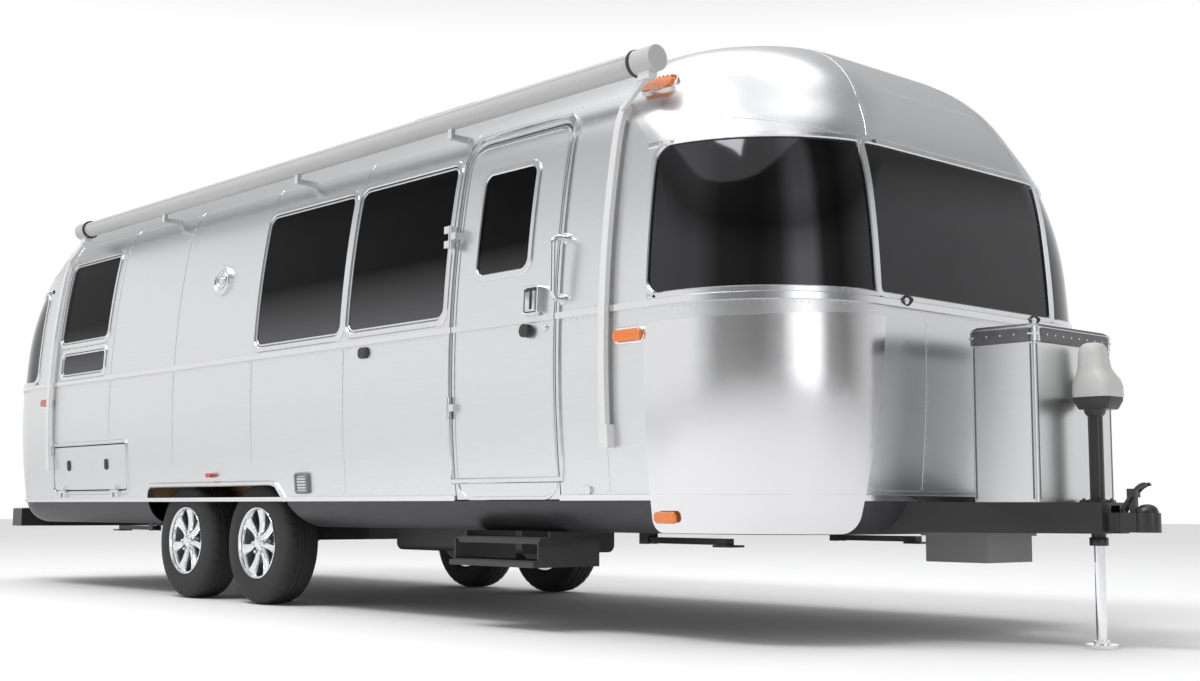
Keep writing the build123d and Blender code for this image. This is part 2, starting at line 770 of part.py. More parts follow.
with BuildPart() as belly_pan:
    add(belly_form(0))
    add(belly_form(belly_sheet), mode=Mode.SUBTRACT)
    add(arch_prism(-1) + arch_prism(1), mode=Mode.SUBTRACT)
    add(chassis_outline(1), mode=Mode.SUBTRACT)
    for side in (-1, 1):
        y0, y1 = sorted((side * (rail_y + 85), side * 1500))
        add(block(rear_axle_x - tyre_radius - arch_rear_gap, front_axle_x + tyre_radius + 60, y0, y1, 400, sill_z),
            mode=Mode.SUBTRACT)
save(belly_pan.part, "belly_pan")

# ---------------------------------------------------------------- axles and wheels
hub_face_y = tyre_face_y - 95
axle_top = belly_z - 1
for axle_name, axle_index in (("rear", 0), ("front", 1)):
    wheel_x = rear_axle_x + axle_index * axle_spacing
    tube_x = wheel_x + 130
    with BuildPart() as axle:
        add(block(tube_x - axle_tube / 2, tube_x + axle_tube / 2, -rail_y - 60, rail_y + 60,
                  axle_top - axle_tube, axle_top))
        for side in (-1, 1):
            arm_in = rail_y + 60
            arm_out = arm_in + 40
            y0, y1 = sorted((side * arm_in, side * arm_out))
            with BuildSketch(Plane.XZ.offset(-y1)):
                with BuildLine():
                    Polyline((wheel_x - 34, tyre_radius - 34), (wheel_x - 34, tyre_radius + 34),
                             (tube_x + 36, axle_top - 4), (tube_x + 36, axle_top - axle_tube + 4), close=True)
                make_face()
            extrude(amount=y1 - y0)
            with BuildSketch(Plane.XZ.offset(-side * arm_out)):
                with Locations((wheel_x, tyre_radius)):
                    Circle(spindle_radius)
            extrude(amount=-side * (hub_face_y - 20 - arm_out))
            with BuildSketch(Plane.XZ.offset(-side * arm_out)):
                with Locations((wheel_x, tyre_radius)):
                    Circle(150)
                    Circle(spindle_radius, mode=Mode.SUBTRACT)
            extrude(amount=-side * 12)
            add(block(tube_x - 60, tube_x + 60, side * rail_y - 32, side * rail_y + 32, axle_top - 20,
                      rail_bottom) - belly_pan.part)
    save(axle.part, f"{axle_name}_axle")

tyre_inner_y = tyre_face_y - tyre_width


for wheel_name, axle_index, side in WHEELS:
    wheel_x = rear_axle_x + axle_index * axle_spacing
    turn_axis = Axis((wheel_x, 0, tyre_radius), (0, 1, 0))
    outer = side * tyre_face_y
    inner = side * tyre_inner_y
    with BuildPart() as tyre:
        with BuildSketch(Plane(origin=(wheel_x, 0, tyre_radius), x_dir=(0, 1, 0), z_dir=(1, 0, 0))):
            with BuildLine():
                Polyline((outer - side * 12, rim_radius), (outer, rim_radius + 45), (outer - side * 4, 300),
                         (outer - side * 24, tyre_radius - 12), (outer - side * 44, tyre_radius),
                         (inner + side * 44, tyre_radius), (inner + side * 24, tyre_radius - 12),
                         (inner + side * 4, 300), (inner, rim_radius + 45), (inner + side * 12, rim_radius),
                         close=True)
            make_face()
        revolve(axis=turn_axis)
    save(tyre.part, f"tyre_{wheel_name}")

    with BuildPart() as rim:
        face_y = side * (tyre_face_y - 14)
        back_y = side * (tyre_inner_y + 14)
        hub_y = side * hub_face_y
        with BuildSketch(Plane(origin=(wheel_x, 0, tyre_radius), x_dir=(0, 1, 0), z_dir=(1, 0, 0))):
            with BuildLine():
                Polyline((face_y, rim_radius), (face_y, rim_radius - rim_barrel),
                         (back_y, rim_radius - rim_barrel), (back_y, rim_radius), close=True)
            make_face()
            with BuildLine():
                Polyline((hub_y + side * 45, 0), (hub_y + side * 45, 34), (hub_y + side * 30, 52),
                         (hub_y, 72), (hub_y - side * 70, 72),
                         (hub_y - side * 70, spindle_radius + hub_play),
                         (hub_y - side * 18, spindle_radius + hub_play), (hub_y - side * 18, 0), close=True)
            make_face()
        revolve(axis=turn_axis)
        spoke_count = 7
        for index in range(spoke_count):
            turn = index * 360 / spoke_count + 90
            spoke_plane = Plane(origin=(wheel_x, side * (hub_face_y - 6), tyre_radius), x_dir=(1, 0, 0),
                                z_dir=(0, -1, 0))
            with BuildSketch(spoke_plane):
                with BuildLine():
                    Polyline(*[(radius * cos(turn * pi / 180) + across * sin(turn * pi / 180),
                                radius * sin(turn * pi / 180) - across * cos(turn * pi / 180))
                               for radius, across in ((60, 21), (rim_radius - rim_barrel + 2, 27),
                                                      (rim_radius - rim_barrel + 2, -27), (60, -21))], close=True)
                make_face()
            extrude(amount=-side * 34)
    save(rim.part, f"rim_{wheel_name}")

# ---------------------------------------------------------------- coupler, jack, gas bottle cover
tip_x = front_seam_x + hitch_reach
ball_x = tip_x - 52
coupler_bottom = rail_bottom + 6
socket_depth = 44
with BuildPart() as coupler:
    with BuildSketch(Plane.XY.offset(coupler_bottom)):
        with BuildLine():
            Polyline((tongue_tip_x + 1, -66), (tongue_tip_x + 1, 66), (ball_x - 20, 46), (ball_x - 20, -46), close=True)
        make_face()
        with Locations((ball_x, 0)):
            Circle(tip_x - ball_x)
    extrude(amount=78)
    with BuildSketch(Plane.XY.offset(coupler_bottom)):
        with Locations((ball_x, 0)):
            Circle(ball_radius)
    extrude(amount=socket_depth, mode=Mode.SUBTRACT)
    add(block(ball_x - 70, ball_x - 44, -12, 12, coupler_bottom + 78, coupler_bottom + 150))
    add(block(ball_x - 76, ball_x - 38, -20, 20, coupler_bottom + 140, coupler_bottom + 175))
save(coupler.part, "coupler")

jack_x = front_seam_x + jack_reach
jack_tube_bottom = 432
jack_head_bottom = 968
jack_head_top = 1245
leg_play = 0.5
jack_head_x = jack_x + 16
with BuildPart() as jack_housing:
    with BuildSketch(Plane.XY.offset(jack_tube_bottom)):
        with Locations((jack_x, 0)):
            Circle(jack_tube_radius)
    extrude(amount=jack_head_bottom - jack_tube_bottom)
    with BuildSketch(Plane.XY.offset(jack_tube_bottom - 20)):
        with Locations((jack_x, 0)):
            Circle(jack_tube_radius + 9)
    extrude(amount=34)
    with BuildSketch(Plane.XY.offset(rail_top_z)):
        with Locations((jack_x, 0)):
            Circle(72)
    extrude(amount=10)
    with BuildSketch(Plane.XY.offset(jack_head_bottom)):
        with Locations((jack_head_x, 0)):
            RectangleRounded(166, 150, 30)
    with BuildSketch(Plane.XY.offset(jack_head_bottom + 60)):
        with Locations((jack_head_x, 0)):
            RectangleRounded(172, 160, 34)
    loft()
    with BuildSketch(Plane.XY.offset(jack_head_bottom + 60)):
        with Locations((jack_head_x, 0)):
            RectangleRounded(172, 160, 34)
    with BuildSketch(Plane.XY.offset(jack_head_top)):
        with Locations((jack_head_x - 20, 0)):
            RectangleRounded(120, 110, 30)
    loft()
    with BuildSketch(Plane.XY.offset(jack_tube_bottom - 25)):
        with Locations((jack_x, 0)):
            Circle(jack_leg_radius + leg_play)
    extrude(amount=jack_head_bottom - jack_tube_bottom + 20, mode=Mode.SUBTRACT)
save(jack_housing.part, "jack_housing")

leg_length = 600
with BuildPart() as jack_leg:
    with BuildSketch(Plane.XY.offset(16)):
        with Locations((jack_x, 0)):
            Circle(jack_leg_radius)
    extrude(amount=leg_length)
    with BuildSketch(Plane.XY):
        with Locations((jack_x, 0)):
            Circle(foot_radius)
    extrude(amount=16)
    with BuildSketch(Plane.XY.offset(16)):
        with Locations((jack_x, 0)):
            Circle(34)
    extrude(amount=14)
save(jack_leg.part, "jack_leg")

gas_bottom = rail_top_z
with BuildPart() as gas_cover:
    x0 = front_seam_x + gas_cover_rear
    x1 = front_seam_x + gas_cover_front
    with BuildSketch(Plane.XY.offset(gas_bottom)):
        with Locations(((x0 + x1) / 2, 0)):
            RectangleRounded(x1 - x0, 2 * gas_cover_half_width, 14)
    extrude(amount=gas_cover_height)
    with BuildSketch(Plane.XY.offset(gas_bottom + gas_cover_height - 60)):
        with Locations(((x0 + x1) / 2, 0)):
            RectangleRounded(x1 - x0 + 16, 2 * gas_cover_half_width + 16, 30)
    extrude(amount=60)
    with BuildSketch(Plane.XY.offset(gas_bottom + gas_cover_height)):
        with Locations(((x0 + x1) / 2, 0)):
            RectangleRounded(x1 - x0 + 16, 2 * gas_cover_half_width + 16, 30)
    with BuildSketch(Plane.XY.offset(gas_bottom + gas_cover_height + 14)):
        with Locations(((x0 + x1) / 2, 0)):
            RectangleRounded(x1 - x0 - 20, 2 * gas_cover_half_width - 20, 30)
    loft()
save(gas_cover.part, "gas_cover")

with BuildPart() as battery_box:
    add(block(front_seam_x + 905, front_seam_x + 1215, -235, 100, 335, rail_bottom))
    add(block(front_seam_x + 890, front_seam_x + 1230, -250, 115, rail_bottom - 16, rail_bottom))
save(battery_box.part, "battery_box")

# ---------------------------------------------------------------- rear bumper with its lidded tray
bumper_front_x = rail_rear_x
bumper_rear_x = -half_total
with BuildPart() as rear_bumper:
    add(block(bumper_rear_x, bumper_front_x, -bumper_half_width, bumper_half_width, bumper_bottom, bumper_top))
    fillet(edges().filter_by(Axis.Z).group_by(Axis.X)[0], 30)
    add(block(bumper_rear_x + 12, bumper_front_x - 12, -bumper_half_width + 30, bumper_half_width - 30,
              bumper_bottom + bumper_sheet, bumper_top + 1), mode=Mode.SUBTRACT)
save(rear_bumper.part, "rear_bumper")

with BuildPart() as bumper_lid:
    add(block(bumper_rear_x + 3, bumper_front_x - 22, -bumper_half_width + 15, bumper_half_width - 15,
              bumper_top + 0.5, bumper_top + 4.5))
    fillet(edges().filter_by(Axis.Z).group_by(Axis.X)[0], 28)
save(bumper_lid.part, "bumper_lid")

# ---------------------------------------------------------------- step, water tank and stabilisers
step_x0 = front_seam_x - 1040
step_x1 = front_seam_x - 420
with BuildPart() as entry_step:
    for x_side in (step_x0, step_x1 - 8):
        add(block(x_side, x_side + 8, -1235, -930, 290, belly_z))
    add(block(step_x0, step_x1, -1290, -1040, 395, 420))
    add(block(step_x0, step_x1, -1330, -1100, 290, 315))
    for x_side in (step_x0, step_x1 - 8):
        add(block(x_side, x_side + 8, -1300, -1090, 300, 410))
save(entry_step.part, "entry_step")

with BuildPart() as water_tank:
    add(block(front_seam_x - 2290, front_seam_x - 1190, -760, -120, 325, belly_z))
    fillet(edges().filter_by(Axis.X).group_by(Axis.Z)[0], 40)
save(water_tank.part, "water_tank")

stab_length = 520
stab_y = 700
stab_z = 410
stab_half = 25
stab_cheek = 6
with BuildPart() as stabiliser_brackets:
    for stab_name, reach, points_to, side in STABILISERS:
        x_pivot = front_seam_x + reach
        y_mid = side * stab_y
        for step in (-1, 1):
            y0, y1 = sorted((y_mid + step * (stab_half + 1), y_mid + step * (stab_half + 1 + stab_cheek)))
            add(block(x_pivot - 30, x_pivot + 30, y0, y1, stab_z - 18, belly_z))
        outer_half = stab_half + 1 + stab_cheek
        add(block(x_pivot - 45, x_pivot + 45, y_mid - outer_half, y_mid + outer_half, belly_z - 6, belly_z))
save(stabiliser_brackets.part, "stabiliser_brackets")

for stab_name, reach, points_to, side in STABILISERS:
    x_pivot = front_seam_x + reach
    y_mid = side * stab_y
    with BuildPart() as leg:
        x0, x1 = sorted((x_pivot, x_pivot + points_to * stab_length))
        add(block(x0, x1, y_mid - stab_half, y_mid + stab_half, stab_z - 14, stab_z + 14))
        with BuildSketch(Plane.XZ.offset(-y_mid - stab_half)):
            with Locations((x_pivot, stab_z)):
                Circle(17)
        extrude(amount=2 * stab_half)
        x2, x3 = sorted((x_pivot + points_to * (stab_length - 60), x_pivot + points_to * (stab_length + 40)))
        add(block(x2, x3, y_mid - 50, y_mid + 50, stab_z - 24, stab_z - 14))
    save(leg.part, f"stabiliser_{stab_name}")

# ---------------------------------------------------------------- plain furniture seen through the door
with BuildPart() as galley_block:
    add(block(front_seam_x - 2600, front_seam_x - 1300, 620, 1180, deck_top, 1540))
    add(block(front_seam_x - 2600, front_seam_x - 1300, 600, 1185, 1540, 1570))
save(galley_block.part, "galley_block")
with BuildPart() as dinette:
    add(block(front_seam_x + 250, front_seam_x + 800, -650, 650, deck_top, 1080))
    add(block(front_seam_x - 200, front_seam_x + 250, 420, 1180, deck_top, 1080))
save(dinette.part, "dinette")
with BuildPart() as bed_platform:
    add(block(rear_seam_x - 550, rear_seam_x + 1150, -1130, 1130, 1030, 1230))
    add(block(rear_seam_x - 550, rear_seam_x + 1150, -300, -260, deck_top, 1030))
    add(block(rear_seam_x - 550, rear_seam_x + 1150, 260, 300, deck_top, 1030))
save(bed_platform.part, "bed_platform")
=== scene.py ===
import json
from math import asin, atan2, cos, pi, radians, sin, sqrt

import bmesh
import bpy
from mathutils import Matrix, Vector


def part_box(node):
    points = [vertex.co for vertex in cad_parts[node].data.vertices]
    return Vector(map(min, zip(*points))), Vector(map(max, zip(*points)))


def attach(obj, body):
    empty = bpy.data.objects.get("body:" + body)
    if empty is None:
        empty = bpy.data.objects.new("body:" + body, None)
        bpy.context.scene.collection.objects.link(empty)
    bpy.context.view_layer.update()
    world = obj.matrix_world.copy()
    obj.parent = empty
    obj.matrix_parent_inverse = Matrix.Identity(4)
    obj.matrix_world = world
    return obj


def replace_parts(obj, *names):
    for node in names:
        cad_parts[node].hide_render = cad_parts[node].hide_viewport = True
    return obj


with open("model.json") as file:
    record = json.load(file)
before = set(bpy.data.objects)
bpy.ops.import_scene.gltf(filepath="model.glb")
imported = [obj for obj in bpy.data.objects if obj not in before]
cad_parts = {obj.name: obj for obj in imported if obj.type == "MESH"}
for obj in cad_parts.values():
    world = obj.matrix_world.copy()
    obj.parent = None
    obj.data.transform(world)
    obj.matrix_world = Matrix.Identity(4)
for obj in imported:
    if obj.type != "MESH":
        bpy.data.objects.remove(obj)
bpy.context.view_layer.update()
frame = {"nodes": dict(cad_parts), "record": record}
nodes = frame["nodes"]

# ---------------------------------------- form of the coach body, in metres
SEAM_SPAN = 5.825  # length of the straight sides between the two seams
FS = 2.5875  # x of the front seam, where the sides meet the front cap
RS = FS - SEAM_SPAN  # x of the rear seam
MID = (FS + RS) / 2
W, CAP, CROWN = 1.289, 1.003, 2.742  # half width, the caps' reach past the seams, the roof's height
SIDE_R, ROOF_R, CAP_ROOF_R = 5.25, 3.6, 1.414  # radii of the side, the roof and the caps' roof
WIDEST_Z = 1.25  # height at which the sides bulge most
SIDE_SHOULDER_Z, CAP_SHOULDER_Z = 2.19, 2.05  # where sides and caps begin to turn into the roof
CORNER_R, CORNER_GAIN, CORNER_Z = 0.621, 0.378, 1.9  # plan corner radius, its gain above CORNER_Z
BELT, ROOF_SEAM = 1.417, 2.43  # heights of the belt rail and of the seam under the roof


def reach_at(z, reach, shoulder_z, crown_r):
    """Distance of the wall or roof from the middle at height z: side, shoulder and roof arc."""
    lean = asin((shoulder_z - WIDEST_Z) / SIDE_R)
    out = reach - SIDE_R * (1 - cos(lean))
    up = shoulder_z - (CROWN - crown_r)
    radius = (crown_r**2 - out**2 - up**2) / (2 * (crown_r - out * cos(lean) - up * sin(lean)))
    cx, cz = out - radius * cos(lean), shoulder_z - radius * sin(lean)
    steep = atan2(cz - (CROWN - crown_r), cx)
    if z <= cz + radius * sin(lean):
        return reach - SIDE_R + sqrt(SIDE_R**2 - (z - WIDEST_Z) ** 2)
    if z <= cz + radius * sin(steep):
        return cx + sqrt(max(radius**2 - (z - cz) ** 2, 0))
    return sqrt(max(crown_r**2 - (z - CROWN + crown_r) ** 2, 1e-6))


def plan(z):
    """Half length, half width and corner radius of the level section at height z."""
    across = reach_at(z, W, SIDE_SHOULDER_Z, ROOF_R)
    cap = reach_at(z, CAP, CAP_SHOULDER_Z, CAP_ROOF_R)
    corner = CORNER_R + CORNER_GAIN * max(0, (z - CORNER_Z) / (CROWN - CORNER_Z))
    return SEAM_SPAN / 2 + cap, across, min(corner, 0.96 * across, max(0.96 * cap, 0.3))


def distance(x, y, z):
    """Signed distance to the body in its level section, negative inside."""
    length, across, corner = plan(z)
    qx, qy = abs(x - MID) - (length - corner), abs(y) - (across - corner)
    return sqrt(max(qx, 0) ** 2 + max(qy, 0) ** 2) + min(max(qx, qy), 0) - corner


def normal(p):
    """Outward direction of the body at p."""
    e = 0.004
    x, y, z = p
    return Vector((distance(x + e, y, z) - distance(x - e, y, z),
                   distance(x, y + e, z) - distance(x, y - e, z),
                   distance(x, y, z + e) - distance(x, y, z - e))).normalized()


def on_side(x, z, side):
    """Point of the side wall at x and z. The side is -1 at the door and 1 at the street."""
    length, across, corner = plan(z)
    over = abs(x - MID) - (length - corner)
    y = across if over <= 0 else across - corner + sqrt(max(corner**2 - over**2, 0))
    return Vector((x, side * y, z))


def on_cap(y, z, end):
    """Point of the end cap at y and z. The end is 1 in front and -1 behind."""
    length, across, corner = plan(z)
    over = abs(y) - (across - corner)
    x = length if over <= 0 else length - corner + sqrt(max(corner**2 - over**2, 0))
    return Vector((MID + end * x, y, z))


def on_corner(a, z, end, side):
    """Point of the corner at height z. The angle a is 0 at the side and 90 degrees at the cap."""
    length, across, corner = plan(z)
    return Vector((MID + end * (length - corner + corner * sin(a)),
                   side * (across - corner + corner * cos(a)), z))


# ---------------------------------------- materials
PAINTED_REFLECTION_GREY = (0.105, 0.105, 0.109, 1)  # painted reflection: the lighter grey that a side pane turns to towards its foot


def make_material(name, color, metallic, roughness, tone=0.06, scale=40.0, stretch=(1, 1, 1),
                  bump=0.1, coat=0.0, wobble=0.0, spread=0.08, reflection_band=None):
    """Principled material with a fine grain in colour, roughness and bump. Wobble adds broad dents,
    and the last argument, a pair (z0, z1), paints a reflection: the colour turns a lighter grey
    from z1 down to z0."""
    m = bpy.data.materials.new(name)
    m.use_nodes = True
    tree = m.node_tree
    shader = tree.nodes["Principled BSDF"]
    coord = tree.nodes.new("ShaderNodeTexCoord")
    mapping = tree.nodes.new("ShaderNodeMapping")
    mapping.inputs["Scale"].default_value = stretch
    tree.links.new(coord.outputs["Object"], mapping.inputs["Vector"])
    grain = tree.nodes.new("ShaderNodeTexNoise")
    grain.inputs["Scale"].default_value = scale
    grain.inputs["Detail"].default_value = 6
    tree.links.new(mapping.outputs["Vector"], grain.inputs["Vector"])
    ramp = tree.nodes.new("ShaderNodeValToRGB")
    dark, light = ramp.color_ramp.elements
    dark.position, light.position = 0.3, 0.7
    dark.color = [max(c * (1 - tone), 0) for c in color] + [1]
    light.color = [min(c * (1 + tone), 1) for c in color] + [1]
    tree.links.new(grain.outputs["Fac"], ramp.inputs["Fac"])
    tree.links.new(ramp.outputs["Color"], shader.inputs["Base Color"])
    rough = tree.nodes.new("ShaderNodeMapRange")
    rough.inputs["To Min"].default_value = max(roughness - spread, 0.02)
    rough.inputs["To Max"].default_value = min(roughness + spread, 1)
    tree.links.new(grain.outputs["Fac"], rough.inputs["Value"])
    tree.links.new(rough.outputs["Result"], shader.inputs["Roughness"])
    bumper = tree.nodes.new("ShaderNodeBump")
    bumper.inputs["Strength"].default_value = bump
    bumper.inputs["Distance"].default_value = 0.0015
    tree.links.new(grain.outputs["Fac"], bumper.inputs["Height"])
    tree.links.new(bumper.outputs["Normal"], shader.inputs["Normal"])
    if wobble:
        wave = tree.nodes.new("ShaderNodeTexNoise")
        wave.inputs["Scale"].default_value = 1.4
        wave.inputs["Detail"].default_value = 1
        tree.links.new(coord.outputs["Object"], wave.inputs["Vector"])
        broad = tree.nodes.new("ShaderNodeBump")
        broad.inputs["Strength"].default_value = wobble
        broad.inputs["Distance"].default_value = 0.02
        tree.links.new(wave.outputs["Fac"], broad.inputs["Height"])
        tree.links.new(broad.outputs["Normal"], bumper.inputs["Normal"])
    shader.inputs["Metallic"].default_value = metallic
    shader.inputs["Coat Weight"].default_value = coat
    # painted reflection: the pane's colour turns a lighter grey towards its foot, and its own
    # reflection is turned nearly off
    if reflection_band:
        place = tree.nodes.new("ShaderNodeSeparateXYZ")
        tree.links.new(coord.outputs["Object"], place.inputs["Vector"])
        low = tree.nodes.new("ShaderNodeMapRange")
        low.inputs["From Min"].default_value, low.inputs["From Max"].default_value = reflection_band
        low.inputs["To Min"].default_value, low.inputs["To Max"].default_value = 1, 0
        tree.links.new(place.outputs["Z"], low.inputs["Value"])
        reflection_mix = tree.nodes.new("ShaderNodeMix")
        reflection_mix.data_type = "RGBA"
        for socket in reflection_mix.inputs:
            if socket.type == "RGBA" and socket.identifier == "A_Color":
                tree.links.new(ramp.outputs["Color"], socket)
            if socket.type == "RGBA" and socket.identifier == "B_Color":
                socket.default_value = PAINTED_REFLECTION_GREY
        tree.links.new(low.outputs["Result"], reflection_mix.inputs[0])
        colour = [o for o in reflection_mix.outputs if o.type == "RGBA"][0]
        tree.links.new(colour, shader.inputs["Base Color"])
        shader.inputs["Specular IOR Level"].default_value = 0.03
    return m


LOOKS = {
    "skin": dict(color=(0.72, 0.725, 0.73), metallic=1, roughness=0.30, tone=0.015, scale=9,
                 stretch=(1, 1, 16), bump=0.012, wobble=0.12, spread=0.03),
    "bright": dict(color=(0.74, 0.74, 0.75), metallic=1, roughness=0.17, tone=0.02, scale=30,
                   stretch=(1, 1, 12), bump=0.01, wobble=0.04, spread=0.03),
    # side panes: near-black tinted glass with a painted reflection, lighter grey from 1.80 m down
    # to 1.47 m
    "side_tint": dict(color=(0.003, 0.003, 0.003), metallic=0, roughness=0.12, tone=0.3, scale=3,
                      bump=0.005, spread=0.02, reflection_band=(1.47, 1.80)),
    "cap_tint": dict(color=(0.048, 0.048, 0.050), metallic=1, roughness=0.07, tone=0.05, scale=3,
                     bump=0.004, spread=0.02),
    "grey_box": dict(color=(0.20, 0.20, 0.205), metallic=0, roughness=0.5, tone=0.08, scale=180,
                     bump=0.2),
    "trim": dict(color=(0.70, 0.71, 0.72), metallic=1, roughness=0.24, tone=0.06, scale=14,
                 stretch=(20, 1, 1), bump=0.05),
    "black_plastic": dict(color=(0.025, 0.025, 0.026), metallic=0, roughness=0.42, tone=0.2,
                          scale=300, bump=0.2),
    "grey_plastic": dict(color=(0.58, 0.58, 0.57), metallic=0, roughness=0.45, tone=0.05, scale=260,
                         bump=0.2),
    "amber": dict(color=(0.80, 0.20, 0.02), metallic=0, roughness=0.18, tone=0.15, scale=60,
                  stretch=(1, 1, 4), bump=0.4, coat=0.8),
    "red": dict(color=(0.50, 0.012, 0.012), metallic=0, roughness=0.18, tone=0.15, scale=60,
                stretch=(1, 1, 4), bump=0.4, coat=0.8),
    "white": dict(color=(0.50, 0.50, 0.50), metallic=0, roughness=0.45, tone=0.05, scale=120,
                  bump=0.12),
    "arm_white": dict(color=(0.74, 0.74, 0.74), metallic=0.2, roughness=0.32, tone=0.03, scale=60,
                      stretch=(1, 1, 4), bump=0.08, coat=0.3),
    "smoked": dict(color=(0.10, 0.10, 0.11), metallic=0, roughness=0.22, tone=0.1, scale=50,
                   bump=0.1, coat=0.4),
    "wood": dict(color=(0.34, 0.21, 0.11), metallic=0, roughness=0.42, tone=0.3, scale=6,
                 stretch=(1, 14, 14), bump=0.2, coat=0.2),
    "cabinet": dict(color=(0.46, 0.32, 0.19), metallic=0, roughness=0.42, tone=0.25, scale=6,
                    stretch=(14, 14, 1), bump=0.2, coat=0.2),
    # painted shade: the belly pan is aluminium, and this near-black stands in for the shade under
    # the coach
    "belly": dict(color=(0.07, 0.07, 0.075), metallic=0.6, roughness=0.45, tone=0.12, scale=12,
                  bump=0.1, wobble=0.2),
    "frame_black": dict(color=(0.022, 0.022, 0.023), metallic=0, roughness=0.38, tone=0.2,
                        scale=160, bump=0.15, coat=0.2),
    "chrome": dict(color=(0.85, 0.85, 0.86), metallic=1, roughness=0.08, tone=0.03, scale=40,
                   bump=0.02, spread=0.03),
    "tyre": dict(color=(0.024, 0.024, 0.025), metallic=0, roughness=0.72, tone=0.2, scale=140,
                 bump=0.3),
    "rim": dict(color=(0.78, 0.79, 0.80), metallic=1, roughness=0.16, tone=0.04, scale=60,
                bump=0.05, spread=0.05),
    "skin_dark": dict(color=(0.16, 0.16, 0.17), metallic=0.9, roughness=0.38, tone=0.1, scale=30,
                      bump=0.1),
}
MATS = {name: make_material(name, **look) for name, look in LOOKS.items()}
# nodes that look different from their slot in the record
OTHER_LOOK = {"side_glass": "side_tint", "entry_glass": "side_tint", "front_glass": "cap_tint",
              "rear_glass": "cap_tint", "battery_box": "grey_box", "rub_rails": "bright",
              "awning_arms": "arm_white"}
for row in frame["record"]["subparts"]:
    mesh = nodes[row["node"]].data
    mesh.materials.clear()
    mesh.materials.append(MATS[OTHER_LOOK.get(row["node"], row["material_slot"])])


# ---------------------------------------- mesh helpers
SHARP = radians(38)  # edges steeper than this stay sharp


def piece(name, bm, mat, body):
    """Turn bm into an object that rides on a body, with the finish mat."""
    mesh = bpy.data.meshes.new(name)
    bmesh.ops.recalc_face_normals(bm, faces=bm.faces)
    bm.to_mesh(mesh)
    bm.free()
    o = bpy.data.objects.new(name, mesh)
    bpy.context.scene.collection.objects.link(o)
    mesh.materials.append(MATS[mat])
    for f in mesh.polygons:
        f.use_smooth = True
    mesh.set_sharp_from_angle(angle=SHARP)
    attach(o, body)
    return o


SUNK = 0.004  # how deep a strip reaches into what carries it


def join_rings(bm, rings, closed=False):
    """Faces between neighbouring rings of equally many points, each ring closed in itself."""
    for r, s in zip(rings, rings[1:] + rings[:1] if closed else rings[1:]):
        for k in range(len(r)):
            j = (k + 1) % len(r)
            bm.faces.new((r[k], r[j], s[j], s[k]))


def strip(bm, points, width, height, closed=False, lift=0.0, level=None):
    """A low bar with bevelled edges that follows points on a surface."""
    rings = []
    n = len(points)
    for i, p in enumerate(points):
        a = points[(i - 1) % n] if closed or i else p
        b = points[(i + 1) % n] if closed or i < n - 1 else p
        along = (b - a).normalized()
        up = level(p) if level else normal(p)
        across = along.cross(up).normalized()
        half, bev = width / 2, min(width * 0.2, height * 0.6)
        shape = ((-half, -SUNK), (-half, height - bev), (-half + bev, height), (half - bev, height),
                 (half, height - bev), (half, -SUNK))
        rings.append([bm.verts.new(p + across * u + up * (v + lift)) for u, v in shape])
    join_rings(bm, rings, closed)
    if not closed:
        bm.faces.new(rings[0])
        bm.faces.new(rings[-1])


def rivet(bm, p, up, radius=0.0042, height=0.0022, lift=0.0):
    """A small domed head with six sides."""
    side = up.orthogonal().normalized()
    other = up.cross(side)
    base, mid = [], []
    for k in range(6):
        a = k * pi / 3
        d = side * cos(a) + other * sin(a)
        base.append(bm.verts.new(p + d * radius + up * (lift - 0.001)))
        mid.append(bm.verts.new(p + d * radius * 0.7 + up * (lift + height * 0.75)))
    top = bm.verts.new(p + up * (lift + height))
    for k in range(6):
        j = (k + 1) % 6
        bm.faces.new((base[k], base[j], mid[j], mid[k]))
        bm.faces.new((mid[k], mid[j], top))


def revolve(bm, profile, centre, steps=64, closed=True, wave=None):
    """Profile of (radius, y) turned about a line along Y through centre."""
    x0, y0, z0 = centre
    rings = []
    for i in range(steps):
        a = 2 * pi * i / steps
        ring = []
        for k, (r, y) in enumerate(profile):
            r += wave(i, k) if wave else 0
            ring.append(bm.verts.new((x0 + r * cos(a), y0 + y, z0 + r * sin(a))))
        rings.append(ring)
    count = len(profile)
    for i in range(steps):
        r, s = rings[i], rings[(i + 1) % steps]
        for k in range(count if closed else count - 1):
            bm.faces.new((r[k], r[(k + 1) % count], s[(k + 1) % count], s[k]))


def corner_arcs(per):
    """Quadrant signs and angle of each point on the four corners of a rounded rectangle."""
    return [(qx, qy, radians(start + 90 * k / per))
            for qx, qy, start in ((1, 1, 0), (-1, 1, 90), (-1, -1, 180), (1, -1, 270))
            for k in range(per + 1)]


def rounded(cx, cz, w, h, r, per=8, edge=0.06):
    """Points round a rectangle with rounded corners, dense enough to follow a curved wall."""
    out = [(cx + qx * (w / 2 - r) + r * cos(a), cz + qz * (h / 2 - r) + r * sin(a))
           for qx, qz, a in corner_arcs(per)]
    dense = []
    for i, p in enumerate(out):
        q = out[(i + 1) % len(out)]
        steps = max(1, int(sqrt((q[0] - p[0]) ** 2 + (q[1] - p[1]) ** 2) / edge))
        dense += [(p[0] + (q[0] - p[0]) * t / steps, p[1] + (q[1] - p[1]) * t / steps)
                  for t in range(steps)]
    return dense


def patch(bm, row, side, height, levels=3):
    """A low domed plate with a rounded edge on the wall."""
    cx, cz, w, h, r = row
    rings = []
    for k in range(levels + 1):
        t = k / levels
        shrink = 0.5 * min(w, h) * 0.28 * t * t
        edge = rounded(cx, cz, w - 2 * shrink, h - 2 * shrink, max(r - shrink, 0.002), 5)
        base = [on_side(FS + x, z, side) for x, z in edge]
        rise = -0.002 + (height + 0.002) * sqrt(t)
        rings.append([bm.verts.new(p + normal(p) * rise) for p in base])
    join_rings(bm, rings)
    bm.faces.new(rings[-1])


